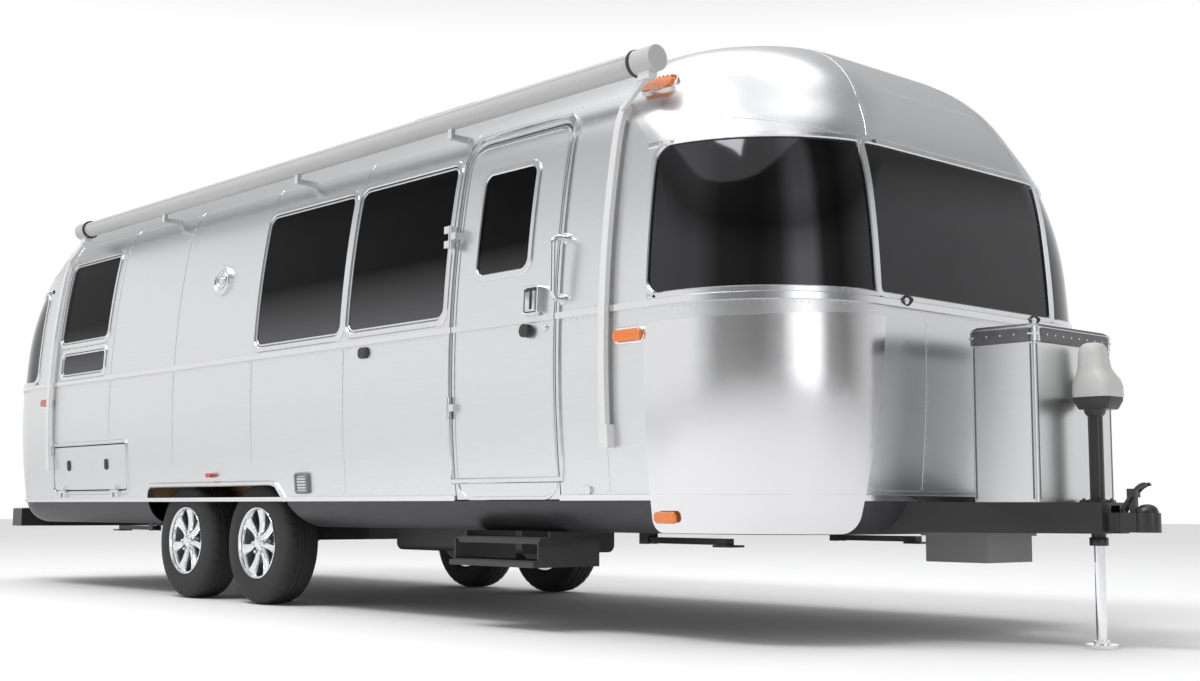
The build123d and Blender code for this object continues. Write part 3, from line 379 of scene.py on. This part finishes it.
def turned(bm, profile, x, y, steps=48):
    """Profile of (radius, z) turned about an upright line."""
    rings = []
    for i in range(steps):
        a = 2 * pi * i / steps
        rings.append([bm.verts.new((x + r * cos(a), y + r * sin(a), z)) for r, z in profile])
    for i in range(steps):
        p, q = rings[i], rings[(i + 1) % steps]
        for k in range(len(profile) - 1):
            bm.faces.new((p[k], p[k + 1], q[k + 1], q[k]))


def loft_rects(bm, rows, x, y):
    """Rounded rectangles (z, length, width, corner, shift along X) joined upward and closed."""
    rings = []
    for z, w, h, r, shift in rows:
        rings.append([bm.verts.new((x + shift + qx * (w / 2 - r) + r * cos(a),
                                    y + qy * (h / 2 - r) + r * sin(a), z))
                      for qx, qy, a in corner_arcs(8)])
    join_rings(bm, rings)
    bm.faces.new(rings[0])
    bm.faces.new(rings[-1])


def outline(row, side, grow=0.0):
    """The edge of an opening in a side wall, grown by an even margin."""
    cx, cz, w, h, r = row
    return [on_side(FS + x, z, side)
            for x, z in rounded(cx, cz, w + 2 * grow, h + 2 * grow, r + grow)]


# ---------------------------------------- windows, doors and seams
# openings in the side walls: middle x from the front seam, middle z, width, height, corner radius
CURB = ((-5.36, 1.985, 0.76, 0.59, 0.06), (-5.335, 1.545, 0.68, 0.17, 0.045),
        (-2.545, 1.865, 0.91, 0.79, 0.065), (-1.605, 1.872, 0.88, 0.796, 0.065))
STREET = ((-5.36, 1.985, 0.76, 0.59, 0.06), (-2.545, 1.985, 0.91, 0.56, 0.065),
          (-0.90, 1.865, 0.88, 0.79, 0.065))
DOOR = (-0.712, 1.46, 0.778, 1.77, 0.11)
LOCKER = (-5.205, 0.82, 1.14, 0.31, 0.03)
DOOR_GLASS = (-0.7375, 1.915, 0.385, 0.50, 0.05)
DOOR_PANEL = (-0.712, 1.46 + 0.003, 0.766 - 0.03, 1.752 - 0.03, 0.095)
# the eave strip over the door: x from the front seam, z
EAVE = ((-1.12, 2.25), (-1.10, 2.33), (-1.05, 2.375), (-0.9, 2.385), (-0.712, 2.388), (-0.5, 2.385),
        (-0.37, 2.375), (-0.32, 2.33), (-0.303, 2.25))
SURROUND_FOOT = 0.66  # the door's surround ends at this height

bm = bmesh.new()
for rows, side in ((CURB, -1), (STREET, 1)):
    for row in rows:
        strip(bm, outline(row, side, 0.012), 0.034, 0.009, True)
        strip(bm, outline(row, side, -0.014), 0.012, 0.006, True, lift=-0.004)
piece("window_frames", bm, "trim", "coach")

bm = bmesh.new()
strip(bm, outline(DOOR_GLASS, -1, 0.014), 0.034, 0.008, True)
strip(bm, outline(DOOR_PANEL, -1), 0.018, 0.004, True)
piece("door_window_frame", bm, "trim", "entry_door_leaf")

bm = bmesh.new()
cx, cz, w, h, r = DOOR
arch = [p for p in rounded(cx, cz, w + 0.04, h + 0.04, r + 0.02) if p[1] > SURROUND_FOOT]
arch.sort(key=lambda p: atan2(p[1] - 1.0, p[0] - cx))
strip(bm, [on_side(FS + x, z, -1) for x, z in arch], 0.028, 0.010)
strip(bm, [on_side(FS + x, z, -1) for x, z in EAVE], 0.020, 0.020)
cx, cz, w, h, _ = LOCKER
strip(bm, outline((cx, cz, w + 0.03, h + 0.03, 0.04), -1), 0.022, 0.006, True)
piece("door_surrounds", bm, "trim", "coach")

PANE_LOW, PANE_HIGH = 1.456, 2.105  # lower and upper edge of the corner panes
PANE_SIDE_X = 0.262  # a corner pane's edge past the seam
PANE_IN_Y = 0.681  # its edge at the mullion
PANE_R = 0.085  # radius of its corners on the side
PANE_MID_Z = 1.6  # height at which its bend round the corner is laid out
MIDDLE_PANE = (0, 1.7805, 1.294 + 0.024, 0.649 + 0.024, 0.032)  # y, z, width, height, radius


def cap_ring(end, side, inset=0.0):
    """The edge of a corner pane: its foot, the mullion upward, its top and its side downward."""
    seam = FS if end > 0 else RS
    low, high = PANE_LOW - inset, PANE_HIGH + inset
    x_side = seam + end * (PANE_SIDE_X - inset)
    y_in = side * (PANE_IN_Y - inset)
    length, across, corner = plan(PANE_MID_Z)
    corner_x = MID + end * (length - corner)
    flat = [x_side + (corner_x - x_side) * k / 6 for k in range(1, 6)]
    bend = [a for a in (radians(90 * k / 15) for k in range(15))
            if across - corner + corner * cos(a) >= abs(y_in)]

    def level_run(z):
        return ([on_side(x, z, side) for x in flat] + [on_corner(a, z, end, side) for a in bend]
                + [on_cap(y_in, z, end)])

    r = PANE_R
    ring = level_run(low)
    ring += [on_cap(y_in, low + (high - low) * k / 12, end) for k in range(1, 12)]
    ring += level_run(high)[::-1]
    for a in (radians(90 * k / 8) for k in range(1, 8)):
        ring.append(on_side(x_side + end * (r - r * sin(a)), high - r + r * cos(a), side))
    ring += [on_side(x_side, high - r - (high - low - 2 * r) * k / 10, side) for k in range(1, 10)]
    for a in (radians(90 * k / 8) for k in range(8)):
        ring.append(on_side(x_side + end * (r - r * cos(a)), low + r - r * sin(a), side))
    return ring


bm = bmesh.new()
for end in (1, -1):
    for side in (-1, 1):
        strip(bm, cap_ring(end, side, 0.012), 0.030, 0.008, True)
    strip(bm, [on_cap(y, z, end) for y, z in rounded(*MIDDLE_PANE)], 0.030, 0.008, True)
piece("end_window_frames", bm, "trim", "coach")


FRAME_ROOM = 0.045  # width round an opening that its frame takes
WHEEL_REAR, WHEEL_FRONT, WHEEL_TOP = RS + 1.42, RS + 3.25, 0.80  # bounds of the wheel opening


def blocked(x, z, side):
    """Whether an opening, its frame or the wheels take this place on the wall."""
    for cx, cz, w, h, _ in CURB + (DOOR, LOCKER) if side < 0 else STREET:
        if abs(x - FS - cx) < w / 2 + FRAME_ROOM and abs(z - cz) < h / 2 + FRAME_ROOM:
            return True
    return WHEEL_REAR < x < WHEEL_FRONT and z < WHEEL_TOP


SEAM_W, CAP_SEAM_W, SEAM_H = 0.034, 0.030, 0.0018  # widths on sides and caps, height
SEAM_FOOT, SEAM_STEPS = 0.63, 110  # lower end of the upright seams, points up to the roof seam
SEAM_X = (FS - 0.012, FS - 1.135, FS - 2.075, FS - 3.04, FS - 4.0, FS - 4.90, RS + 0.012)
# level rows of rivets: height and pitch on the sides, heights on the caps
SIDE_ROWS = ((0.632, 0.045), (0.66, 0.09), (1.392, 0.04), (1.442, 0.04), (2.315, 0.045),
             (ROOF_SEAM - 0.012, 0.04))
CAP_ROWS = (0.632, 1.392, 1.44, 2.135, 2.42)
seams, studs = bmesh.new(), bmesh.new()


def riveted(run):
    """A seam on a cap with one row of rivets."""
    strip(seams, run, CAP_SEAM_W, SEAM_H)
    for p in run:
        rivet(studs, p, normal(p), lift=SEAM_H)


for side in (-1, 1):
    for x in SEAM_X:
        run = []
        for k in range(SEAM_STEPS):
            z = SEAM_FOOT + (ROOF_SEAM - SEAM_FOOT) * k / (SEAM_STEPS - 1)
            if blocked(x, z, side) or abs(z - BELT) < 0.02:
                if len(run) > 2:
                    strip(seams, run, SEAM_W, SEAM_H)
                run = []
                continue
            p = on_side(x, z, side)
            run.append(p)
            if k % 2 == 0:
                for dx in (-0.010, 0.010):
                    rivet(studs, p + Vector((dx, 0, 0)), normal(p), lift=SEAM_H)
        if len(run) > 2:
            strip(seams, run, SEAM_W, SEAM_H)
    for z, pitch in SIDE_ROWS:
        x = RS
        while x < FS:
            if not blocked(x, z, side):
                p = on_side(x, z, side)
                rivet(studs, p, normal(p))
            x += pitch
    for row in CURB if side < 0 else STREET:
        for p in outline(row, side, 0.040):
            rivet(studs, p, normal(p), 0.0036)
for end in (1, -1):
    for z in CAP_ROWS:
        length, across, corner = plan(z)
        for k in range(64):
            for side in (-1, 1):
                if k < 32:
                    p = on_corner(radians(90 * k / 31), z, end, side)
                else:
                    p = on_cap(side * ((across - corner) * (k - 32) / 32), z, end)
                rivet(studs, p, normal(p))
    # the caps' seams: two over the dome, one round each shoulder, two up the foot
    for side in (1, -1):
        riveted([on_cap(side * (0.60 + (0.42 - 0.60) * k / 39), 2.14 + (2.70 - 2.14) * k / 39, end)
                 for k in range(40)])
    for side in (-1, 1):
        riveted([on_corner(radians(8 + 74 * k / 39), 2.27 - 0.15 * k / 39, end, side)
                 for k in range(40)])
        riveted([on_cap(side * 0.33, 0.64 + (1.38 - 0.64) * k / 20, end) for k in range(21)])
piece("skin_seams", seams, "skin", "coach")
piece("skin_rivets", studs, "skin", "coach")

# ---------------------------------------- wheels
REAR_X, FRONT_X = -1.3545, -0.4885  # the axles
HUB_Z, TYRE_R = 0.352, 0.352
TRACK_Y = 1.0875  # middle of a tyre from the middle of the coach
SPOKES, SPOKE_IN, SPOKE_OUT = 7, 0.034, 0.190  # number, inner and outer radius
NUTS, NUT_CIRCLE = 6, 0.058
WHEELS = (("rear_curb", REAR_X, -1), ("rear_street", REAR_X, 1),
          ("front_curb", FRONT_X, -1), ("front_street", FRONT_X, 1))
# one half of the tyre's section from bead to tread: distance from its middle plane, radius
TYRE_HALF = ((0.100, 0.206), (0.110, 0.222), (0.1125, 0.250), (0.1115, 0.262), (0.1125, 0.266),
             (0.1115, 0.270), (0.110, 0.296), (0.106, 0.318), (0.098, 0.334), (0.086, 0.345),
             (0.070, 0.3505), (0.046, 0.3518), (0.042, 0.343), (0.034, 0.343), (0.030, 0.352),
             (0.006, 0.352), (0.003, 0.343))
TYRE = [(r, u) for u, r in TYRE_HALF] + [(r, -u) for u, r in reversed(TYRE_HALF)]
# sections of the rim's lip, hub cap, wheel nut and brake drum: radius, distance outward
LIP = ((0.206, 0.1000), (0.2075, 0.107), (0.204, 0.111), (0.198, 0.108), (0.194, 0.098),
       (0.190, 0.085), (0.186, 0.060), (0.186, 0.02), (0.196, 0.02))
HUB_CAP = ((0.001, 0.112), (0.018, 0.111), (0.028, 0.106), (0.031, 0.096), (0.036, 0.094),
           (0.036, 0.080), (0.001, 0.080))
NUT = ((0.001, 0.104), (0.008, 0.103), (0.010, 0.098), (0.011, 0.078))
DRUM = ((0.05, 0.045), (0.14, 0.045), (0.16, 0.03), (0.185, 0.02), (0.185, 0.0), (0.05, 0.0))


def tread(i, k):
    """Depth of the cross grooves: i counts round the tyre and k along its section."""
    inner = min(k, len(TYRE) - 1 - k)
    if inner in (9, 10, 11) and i % 4 == 0:
        return -0.006
    if inner in (14, 15) and i % 4 == 2:
        return -0.005
    return 0


def spoke(bm, hub, side, a):
    """A broad spoke with a raised, rounded face, at angle a."""
    d, across = Vector((cos(a), 0, sin(a))), Vector((-sin(a), 0, cos(a)))
    rings = []
    for j in range(9):
        reach = SPOKE_IN + (SPOKE_OUT - SPOKE_IN) * j / 8
        half = 0.017 + 0.016 * (j / 8) ** 2
        out = 0.094 - 0.012 * sin(pi * j / 8)
        section = ((-half, 0.050), (-half, out - 0.010), (-half + 0.005, out - 0.002),
                   (0, out + 0.002),
                   (half - 0.005, out - 0.002), (half, out - 0.010), (half, 0.050))
        spine = Vector(hub) + d * reach
        rings.append([bm.verts.new(spine + across * u + Vector((0, side * v, 0)))
                      for u, v in section])
    join_rings(bm, rings)
    bm.faces.new(rings[0])
    bm.faces.new(rings[-1])


def outward(section, side):
    """The section as (radius, y), facing away from the middle of the coach."""
    return [(r, side * u) for r, u in section]


for name, x, side in WHEELS:
    hub = (x, side * TRACK_Y, HUB_Z)
    bm = bmesh.new()
    revolve(bm, TYRE, hub, 144, wave=tread)
    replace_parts(piece("tyre_look_" + name, bm, "tyre", "wheel_" + name), "tyre_" + name)

    bm = bmesh.new()
    revolve(bm, outward(LIP, side), hub, 96)
    revolve(bm, outward(HUB_CAP, side), hub, 48, False)
    for k in range(SPOKES):
        spoke(bm, hub, side, 2 * pi * k / SPOKES + pi / 2)
    for k in range(NUTS):
        a = 2 * pi * k / NUTS
        place = (x + NUT_CIRCLE * cos(a), side * TRACK_Y, HUB_Z + NUT_CIRCLE * sin(a))
        revolve(bm, outward(NUT, side), place, 6, False)
    piece("rim_look_" + name, bm, "rim", "wheel_" + name)

    bm = bmesh.new()
    revolve(bm, outward(DRUM, side), hub, 64)
    piece("drum_" + name, bm, "frame_black", "wheel_" + name)

# ---------------------------------------- wheel opening lips
# edge of the wheel opening in a side wall, as x and z
ARCH_REAR, ARCH_FRONT, ARCH_TOP = REAR_X - TYRE_R - 0.066, FRONT_X + TYRE_R - 0.048, 0.692
ARCH = ((ARCH_REAR, 0.60), (ARCH_REAR, ARCH_TOP - 0.06), (ARCH_REAR + 0.018, ARCH_TOP - 0.018),
        (ARCH_REAR + 0.06, ARCH_TOP + 0.002), (ARCH_FRONT - 0.05, ARCH_TOP + 0.002),
        (ARCH_FRONT + 0.008, ARCH_TOP - 0.008), (ARCH_FRONT + 0.040, ARCH_TOP - 0.04),
        (ARCH_FRONT + 0.0934, 0.594))
arch = [(p[0] + (q[0] - p[0]) * (k / 8), p[1] + (q[1] - p[1]) * (k / 8))
        for p, q in zip(ARCH, ARCH[1:]) for k in range(8)] + [ARCH[-1]]
bm = bmesh.new()
for side in (-1, 1):
    strip(bm, [on_side(x, z, side) for x, z in arch], 0.030, 0.012)
piece("wheel_opening_lips", bm, "trim", "coach")

# ---------------------------------------- lamp bases, gas cover dressing
# lamps as middle x from the front seam, middle z, width, height, corner radius
BELT_LAMP = (0.165, 1.29, 0.165, 0.05, 0.024)
ROOF_LAMP = (0.15, 2.425, 0.17, 0.056, 0.027)
REAR_LAMP = (-5.89, 1.292, 0.12, 0.05, 0.024)
bm = bmesh.new()
for row, side in ((BELT_LAMP, -1), (ROOF_LAMP, -1), (BELT_LAMP, 1), (ROOF_LAMP, 1),
                  (REAR_LAMP, -1), (REAR_LAMP, 1)):
    strip(bm, outline(row, side, 0.006), 0.012, 0.014, True)
piece("lamp_bases", bm, "chrome", "coach")

# rear, front and half width of the gas bottle cover
GAS_X0, GAS_X1, GAS_Y = FS + 1.195, FS + 1.5, 0.3
GAS_SEAM = 0.018  # the corner strips run this far from its edges
bm = bmesh.new()
for cx, cy, sx, sy in ((GAS_X0, -GAS_Y, 1, 1), (GAS_X1, -GAS_Y, -1, 1),
                       (GAS_X0, GAS_Y, 1, -1), (GAS_X1, GAS_Y, -1, -1)):
    for x, y, face in ((cx + sx * GAS_SEAM, cy, Vector((0, -sy, 0))),
                       (cx, cy + sy * GAS_SEAM, Vector((-sx, 0, 0)))):
        run = [Vector((x, y, 0.60 + 0.63 * k / 12)) for k in range(13)]
        strip(bm, run, 0.008, 0.002, level=lambda p, f=face: f)
piece("gas_cover_corners", bm, "skin_dark", "coach")

# levels of the lid: height and how far it draws in
GAS_LID = ((1.238, 0.001), (1.240, -0.002), (1.290, -0.003), (1.304, 0.002), (1.313, 0.014),
           (1.3155, 0.030), (1.3155, 0.12))
GAS_LAP = 0.008  # how far the lid reaches over the cover
gas_mid = (GAS_X0 + GAS_X1) / 2
bm = bmesh.new()
lid_rings = []
for z, shrink in GAS_LID:
    half_x, half_y = (GAS_X1 - GAS_X0) / 2 + GAS_LAP - shrink, GAS_Y + GAS_LAP - shrink
    lid_rings.append([bm.verts.new((gas_mid + x * half_x / 0.5, y * half_y / 0.5, z))
                      for x, y in rounded(0, 0, 1, 1, 0.10, edge=0.2)])
join_rings(bm, lid_rings)
bm.faces.new(lid_rings[-1])
piece("gas_cover_lid", bm, "skin_dark", "coach")
bm = bmesh.new()
for x, y in rounded(gas_mid, 0, GAS_X1 - GAS_X0 + 0.018, 0.618, 0.031):
    d = Vector(((x > GAS_X1 - 0.005) - (x < GAS_X0 + 0.005), (y > 0.298) - (y < -0.298), 0))
    if d.length:
        rivet(bm, Vector((x, y, 1.27)), d.normalized(), 0.006, 0.004, lift=-0.001)
piece("gas_cover_rivets", bm, "bright", "coach")

# ---------------------------------------- roof machine: louvres along its sides
lo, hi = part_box("air_conditioner")
bm = bmesh.new()
for side in (-1, 1):
    edge = abs(hi.y if side > 0 else lo.y)
    for k in range(7):
        y, z = side * (edge - 0.012 - 0.010 * k), lo.z + 0.05 + 0.018 * k
        run = [Vector((lo.x + 0.12 + (hi.x - lo.x - 0.24) * j / 6, y, z)) for j in range(7)]
        strip(bm, run, 0.007, 0.008, level=lambda p, s=side: Vector((0, s, 0.2)).normalized())
piece("air_louvres", bm, "white", "coach")

# ---------------------------------------- small things on the walls
VENT_X, VENT_Z = -3.458, 1.92
GRILLE_X = -2.48
LATCH_X, LATCH_Z = -0.476, 1.50
bm = bmesh.new()
for x in (-5.52, -4.93):
    patch(bm, (x, 0.84, 0.046, 0.075, 0.02), -1, 0.009)
piece("locker_latches", bm, "black_plastic", "locker_door_leaf")
bm = bmesh.new()
patch(bm, (-1.864, 1.362, 0.085, 0.060, 0.022), -1, 0.018)
piece("wall_lock", bm, "black_plastic", "coach")
bm = bmesh.new()
strip(bm, outline((VENT_X, VENT_Z, 0.165, 0.165, 0.0824), -1), 0.024, 0.022, True)
strip(bm, outline((VENT_X, VENT_Z, 0.10, 0.10, 0.0499), -1), 0.010, 0.020, True)
patch(bm, (VENT_X, VENT_Z, 0.05, 0.05, 0.0249), -1, 0.022)
piece("round_vent_rings", bm, "trim", "coach")
bm = bmesh.new()
strip(bm, outline((GRILLE_X, 0.69, 0.115, 0.10, 0.012), -1), 0.016, 0.018, True)
for k in range(5):
    run = [on_side(FS + GRILLE_X - 0.045 + 0.09 * j / 4, 0.657 + 0.016 * k, -1) for j in range(5)]
    strip(bm, run, 0.007, 0.018)
piece("wall_grille", bm, "grey_box", "coach")
bm = bmesh.new()
strip(bm, outline((LATCH_X, LATCH_Z, 0.100, 0.125, 0.012), -1), 0.014, 0.033, True)
patch(bm, (LATCH_X, LATCH_Z, 0.094, 0.119, 0.010), -1, 0.034)
patch(bm, (-0.40, 1.37, 0.036, 0.036, 0.0179), -1, 0.012)
piece("latch_plate", bm, "trim", "entry_door_leaf")
bm = bmesh.new()
strip(bm, [on_side(FS - 0.470, 1.458 + 0.084 * k / 6, -1) for k in range(7)], 0.012, 0.039)
strip(bm, [on_side(FS - 0.515 + 0.078 * k / 4, 1.548, -1) for k in range(5)], 0.008, 0.038)
piece("latch_paddle", bm, "black_plastic", "entry_door_leaf")
bm = bmesh.new()
for (cx, cz, w, h, _), side in ((BELT_LAMP, -1), (BELT_LAMP, 1), (ROOF_LAMP, -1), (ROOF_LAMP, 1)):
    for k in range(7):
        x = cx - w / 2 + 0.022 + (w - 0.044) * k / 6
        run = [on_side(FS + x, cz - h / 2 + 0.008 + (h - 0.016) * j / 4, side) for j in range(5)]
        strip(bm, run, 0.006, 0.0315)
piece("lamp_ribs", bm, "amber", "coach")
bm = bmesh.new()
for side in (-1, 1):
    edge = [on_side(FS + x, max(z, 0.592), side) for x, z in rounded(0.345, 0.64, 0.13, 0.05, 0.02)]
    ring = [Vector((p.x, p.y, p.z - 0.122)) + Vector((0, side * 0.009, 0)) for p in edge]
    mid = sum(ring, Vector()) / len(ring)
    low = [bm.verts.new(p) for p in ring]
    high = [bm.verts.new(p.lerp(mid, 0.12) + Vector((0, side * 0.009, 0))) for p in ring]
    join_rings(bm, [low, high])
    bm.faces.new(high)
piece("guard_reflectors", bm, "amber", "coach")

# ---------------------------------------- awning: rings and seams of its roll
lo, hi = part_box("awning_roller")
cy, cz = (lo.y + hi.y) / 2, (lo.z + hi.z) / 2
bm = bmesh.new()
for x in (hi.x - 0.132, lo.x + 0.132):
    ring = [Vector((x, cy + 0.0575 * cos(a), cz + 0.0575 * sin(a)))
            for a in (2 * pi * k / 48 for k in range(48))]
    strip(bm, ring, 0.020, 0.004, True,
          level=lambda p: Vector((0, p.y - cy, p.z - cz)).normalized())
piece("awning_rings", bm, "black_plastic", "coach")
bm = bmesh.new()
for a in (0.5, 2.3, 4.0):
    y, z = cy - 0.050 * cos(a), cz + 0.050 * sin(a)
    run = [Vector((lo.x + 0.15 + (hi.x - lo.x - 0.30) * k / 40, y, z)) for k in range(41)]
    strip(bm, run, 0.010, 0.003, level=lambda p, q=a: Vector((0, -cos(q), sin(q))))
piece("awning_slats", bm, "white", "coach")

# ---------------------------------------- tongue jack: head, tube and plate
JACK_X = FS + 1.590
HEAD_X = JACK_X + 0.016
HEAD = ((1.018, 0.168, 0.156, 0.034, 0), (1.022, 0.171, 0.159, 0.034, 0),
        (1.062, 0.171, 0.159, 0.036, 0), (1.090, 0.162, 0.152, 0.040, -0.002),
        (1.118, 0.136, 0.130, 0.040, -0.008), (1.140, 0.120, 0.114, 0.036, -0.012),
        (1.200, 0.108, 0.102, 0.034, -0.016),
        (1.228, 0.098, 0.092, 0.034, -0.017), (1.240, 0.078, 0.074, 0.032, -0.017),
        (1.2448, 0.050, 0.048, 0.022, -0.017))
HEAD_FOOT = ((0.968, 0.128, 0.118, 0.026, 0), (0.972, 0.136, 0.126, 0.028, 0),
             (1.004, 0.166, 0.154, 0.034, 0), (1.020, 0.1665, 0.1545, 0.034, 0))
TUBE = ((0.0235, 0.432), (0.0295, 0.434), (0.0300, 0.940), (0.040, 0.950), (0.046, 0.969))
TUBE_COLLAR = ((0.0235, 0.412), (0.0370, 0.412), (0.0380, 0.415), (0.0380, 0.443), (0.036, 0.446),
               (0.029, 0.446))
TUBE_FLANGE = ((0.030, 0.602), (0.034, 0.602), (0.040, 0.5985), (0.070, 0.5975), (0.072, 0.596),
               (0.072, 0.588), (0.03, 0.588))
FLANGE_BOLT = ((0.0075, 0.598), (0.0075, 0.603), (0.0062, 0.6045), (0.001, 0.605))
bm = bmesh.new()
loft_rects(bm, HEAD, HEAD_X, 0)
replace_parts(piece("jack_head_look", bm, "grey_plastic", "coach"), "jack_housing")
bm = bmesh.new()
loft_rects(bm, HEAD_FOOT, HEAD_X, 0)
for profile in (TUBE, TUBE_COLLAR, TUBE_FLANGE):
    turned(bm, profile, JACK_X, 0)
for k in range(4):
    a = pi / 4 + k * pi / 2
    turned(bm, FLANGE_BOLT, JACK_X + 0.056 * cos(a), 0.056 * sin(a), 6)
piece("jack_tube_look", bm, "frame_black", "coach")

# ---------------------------------------- coupler: lever, dome, collar, ribs
BALL_X = 4.393
DOME = ((0.045, 0.545), (0.044, 0.552), (0.038, 0.566), (0.026, 0.576), (0.012, 0.580),
        (0.001, 0.581))
COLLAR = ((0.0518, 0.500), (0.0518, 0.4695), (0.049, 0.4682), (0.031, 0.4682))
RIB = ((0.4675, 0.010, 0.128, 0.004, 0), (0.5475, 0.010, 0.128, 0.004, 0))
bm = bmesh.new()
for y in (-0.018, 0.018):
    run = [Vector((BALL_X - 0.10 + 0.11 * t, y, 0.548 + 0.11 * sin(t * pi * 0.5)))
           for t in (k / 10 for k in range(11))]
    strip(bm, run, 0.008, 0.012, level=lambda p: Vector((-0.6, 0, 0.8)))
turned(bm, DOME, BALL_X, 0)
turned(bm, COLLAR, BALL_X, 0)
for x in (BALL_X - 0.11, BALL_X - 0.095):
    loft_rects(bm, RIB, x, 0)
piece("coupler_lever", bm, "frame_black", "coach")

# ---------------------------------------- window hooks, grip of the steps
bm = bmesh.new()
for y in (-0.482, 0.496):
    p = on_cap(y, 1.436, 1)
    run = [p + normal(p) * (0.004 + 0.030 * sin(t * pi)) + Vector((0, 0, -0.03 + 0.05 * t))
           for t in (k / 10 for k in range(11))]
    strip(bm, run, 0.016, 0.008, level=lambda q: Vector((1, 0, 0.3)).normalized())
piece("front_hooks", bm, "black_plastic", "coach")

STEP_X = FS - 1.03
TREADS = ((-1.29, -1.04, 0.420), (-1.33, -1.10, 0.315))  # outer and inner edge, height
bm = bmesh.new()
for y0, y1, z in TREADS:
    for k in range(8):
        y = y0 + 0.02 + (y1 - y0 - 0.04) * k / 7
        run = [Vector((STEP_X + 0.60 * j / 4, y, z)) for j in range(5)]
        strip(bm, run, 0.010, 0.004, level=lambda p: Vector((0, 0, 1)))
piece("step_grips", bm, "black_plastic", "coach")

# ---------------------------------------- stage and sky
bpy.ops.mesh.primitive_circle_add(vertices=96, radius=70, fill_type="NGON", location=(0, 0, -0.001))
floor = bpy.context.object
floor.name = "stage_floor"
floor.data.materials.append(make_material("stage", (0.93, 0.93, 0.93), 0, 0.85, 0.01, 3, bump=0.0))

# brightness of the studio by height (0 is level and 1 overhead) and round the compass (0.5 is +X)
SKY_TOP = (0.30, 0.30, 0.31, 1)
SKY_STOPS = ((0.30, 1.0), (0.42, 0.42), (0.60, 0.62))
ROUND_STOPS = ((0.20, 1.0), (0.26, 0.32), (0.355, 0.22), (0.40, 0.45), (0.44, 1.9), (0.475, 1.9),
               (0.50, 0.35), (0.545, 0.20), (0.60, 0.65), (0.66, 0.9), (0.70, 0.95), (0.78, 1.0))
scene = bpy.context.scene
world = bpy.data.worlds.new("studio")
scene.world = world
world.use_nodes = True
sky = world.node_tree
back = sky.nodes["Background"]
coord = sky.nodes.new("ShaderNodeTexCoord")
split = sky.nodes.new("ShaderNodeSeparateXYZ")
sky.links.new(coord.outputs["Generated"], split.inputs["Vector"])
height = sky.nodes.new("ShaderNodeValToRGB")
height.color_ramp.elements[0].color = (1, 1, 1, 1)
height.color_ramp.elements[1].color = SKY_TOP
for place, v in SKY_STOPS:
    height.color_ramp.elements.new(place).color = (v, v, v * 1.01, 1)
sky.links.new(split.outputs["Z"], height.inputs["Fac"])
turn = sky.nodes.new("ShaderNodeMath")
turn.operation = "ARCTAN2"
sky.links.new(split.outputs["Y"], turn.inputs[0])
sky.links.new(split.outputs["X"], turn.inputs[1])
compass = sky.nodes.new("ShaderNodeMapRange")
compass.inputs["From Min"].default_value, compass.inputs["From Max"].default_value = -pi, pi
sky.links.new(turn.outputs["Value"], compass.inputs["Value"])
around = sky.nodes.new("ShaderNodeValToRGB")
around.color_ramp.elements[0].color = (1, 1, 1, 1)
for place, v in ROUND_STOPS:
    around.color_ramp.elements.new(place).color = (v, v, v, 1)
sky.links.new(compass.outputs["Result"], around.inputs["Fac"])
both = sky.nodes.new("ShaderNodeVectorMath")
both.operation = "MULTIPLY"
sky.links.new(height.outputs["Color"], both.inputs[0])
sky.links.new(around.outputs["Color"], both.inputs[1])
sky.links.new(both.outputs["Vector"], back.inputs["Color"])
back.inputs["Strength"].default_value = 1.0


# ---------------------------------------- lamps and camera
def area(name, loc, target, size, size_y, power):
    """A rectangular lamp at loc that shines on the target."""
    lamp = bpy.data.lights.new(name, "AREA")
    lamp.shape = "RECTANGLE"
    lamp.size, lamp.size_y, lamp.energy = size, size_y, power
    o = bpy.data.objects.new(name, lamp)
    scene.collection.objects.link(o)
    o.location = loc
    o.rotation_euler = (Vector(target) - Vector(loc)).to_track_quat("-Z", "Y").to_euler()


area("key", (1, -8, 13), (0, 0, 1.2), 10, 3, 900)
area("top", (0, 2, 12), (0, 0, 0), 10, 3, 250)
sun = bpy.data.objects.new("sun", bpy.data.lights.new("sun", "SUN"))
sun.data.energy, sun.data.angle = 1.0, radians(80)
sun.rotation_euler = (radians(12), radians(-8), 0)
scene.collection.objects.link(sun)

# the camera solved from the photograph
EYE = (7.482, -5.779, 0.549)
LENS, SENSOR = 46.14, 36
YAW, PITCH, ROLL = radians(137.63), radians(6.29), 0.004
cam = bpy.data.objects.new("camera", bpy.data.cameras.new("camera"))
scene.collection.objects.link(cam)
cam.data.sensor_width, cam.data.lens, cam.data.clip_end = SENSOR, LENS, 300
ahead = Vector((cos(PITCH) * cos(YAW), cos(PITCH) * sin(YAW), sin(PITCH)))
level = ahead.cross(Vector((0, 0, 1))).normalized()
upward = level.cross(ahead)
right = level * cos(ROLL) + upward * sin(ROLL)
above = upward * cos(ROLL) - level * sin(ROLL)
cam.matrix_world = Matrix([(right[i], above[i], -ahead[i], EYE[i]) for i in range(3)]
                          + [(0, 0, 0, 1)])
scene.camera = cam
scene.view_settings.view_transform = "Standard"
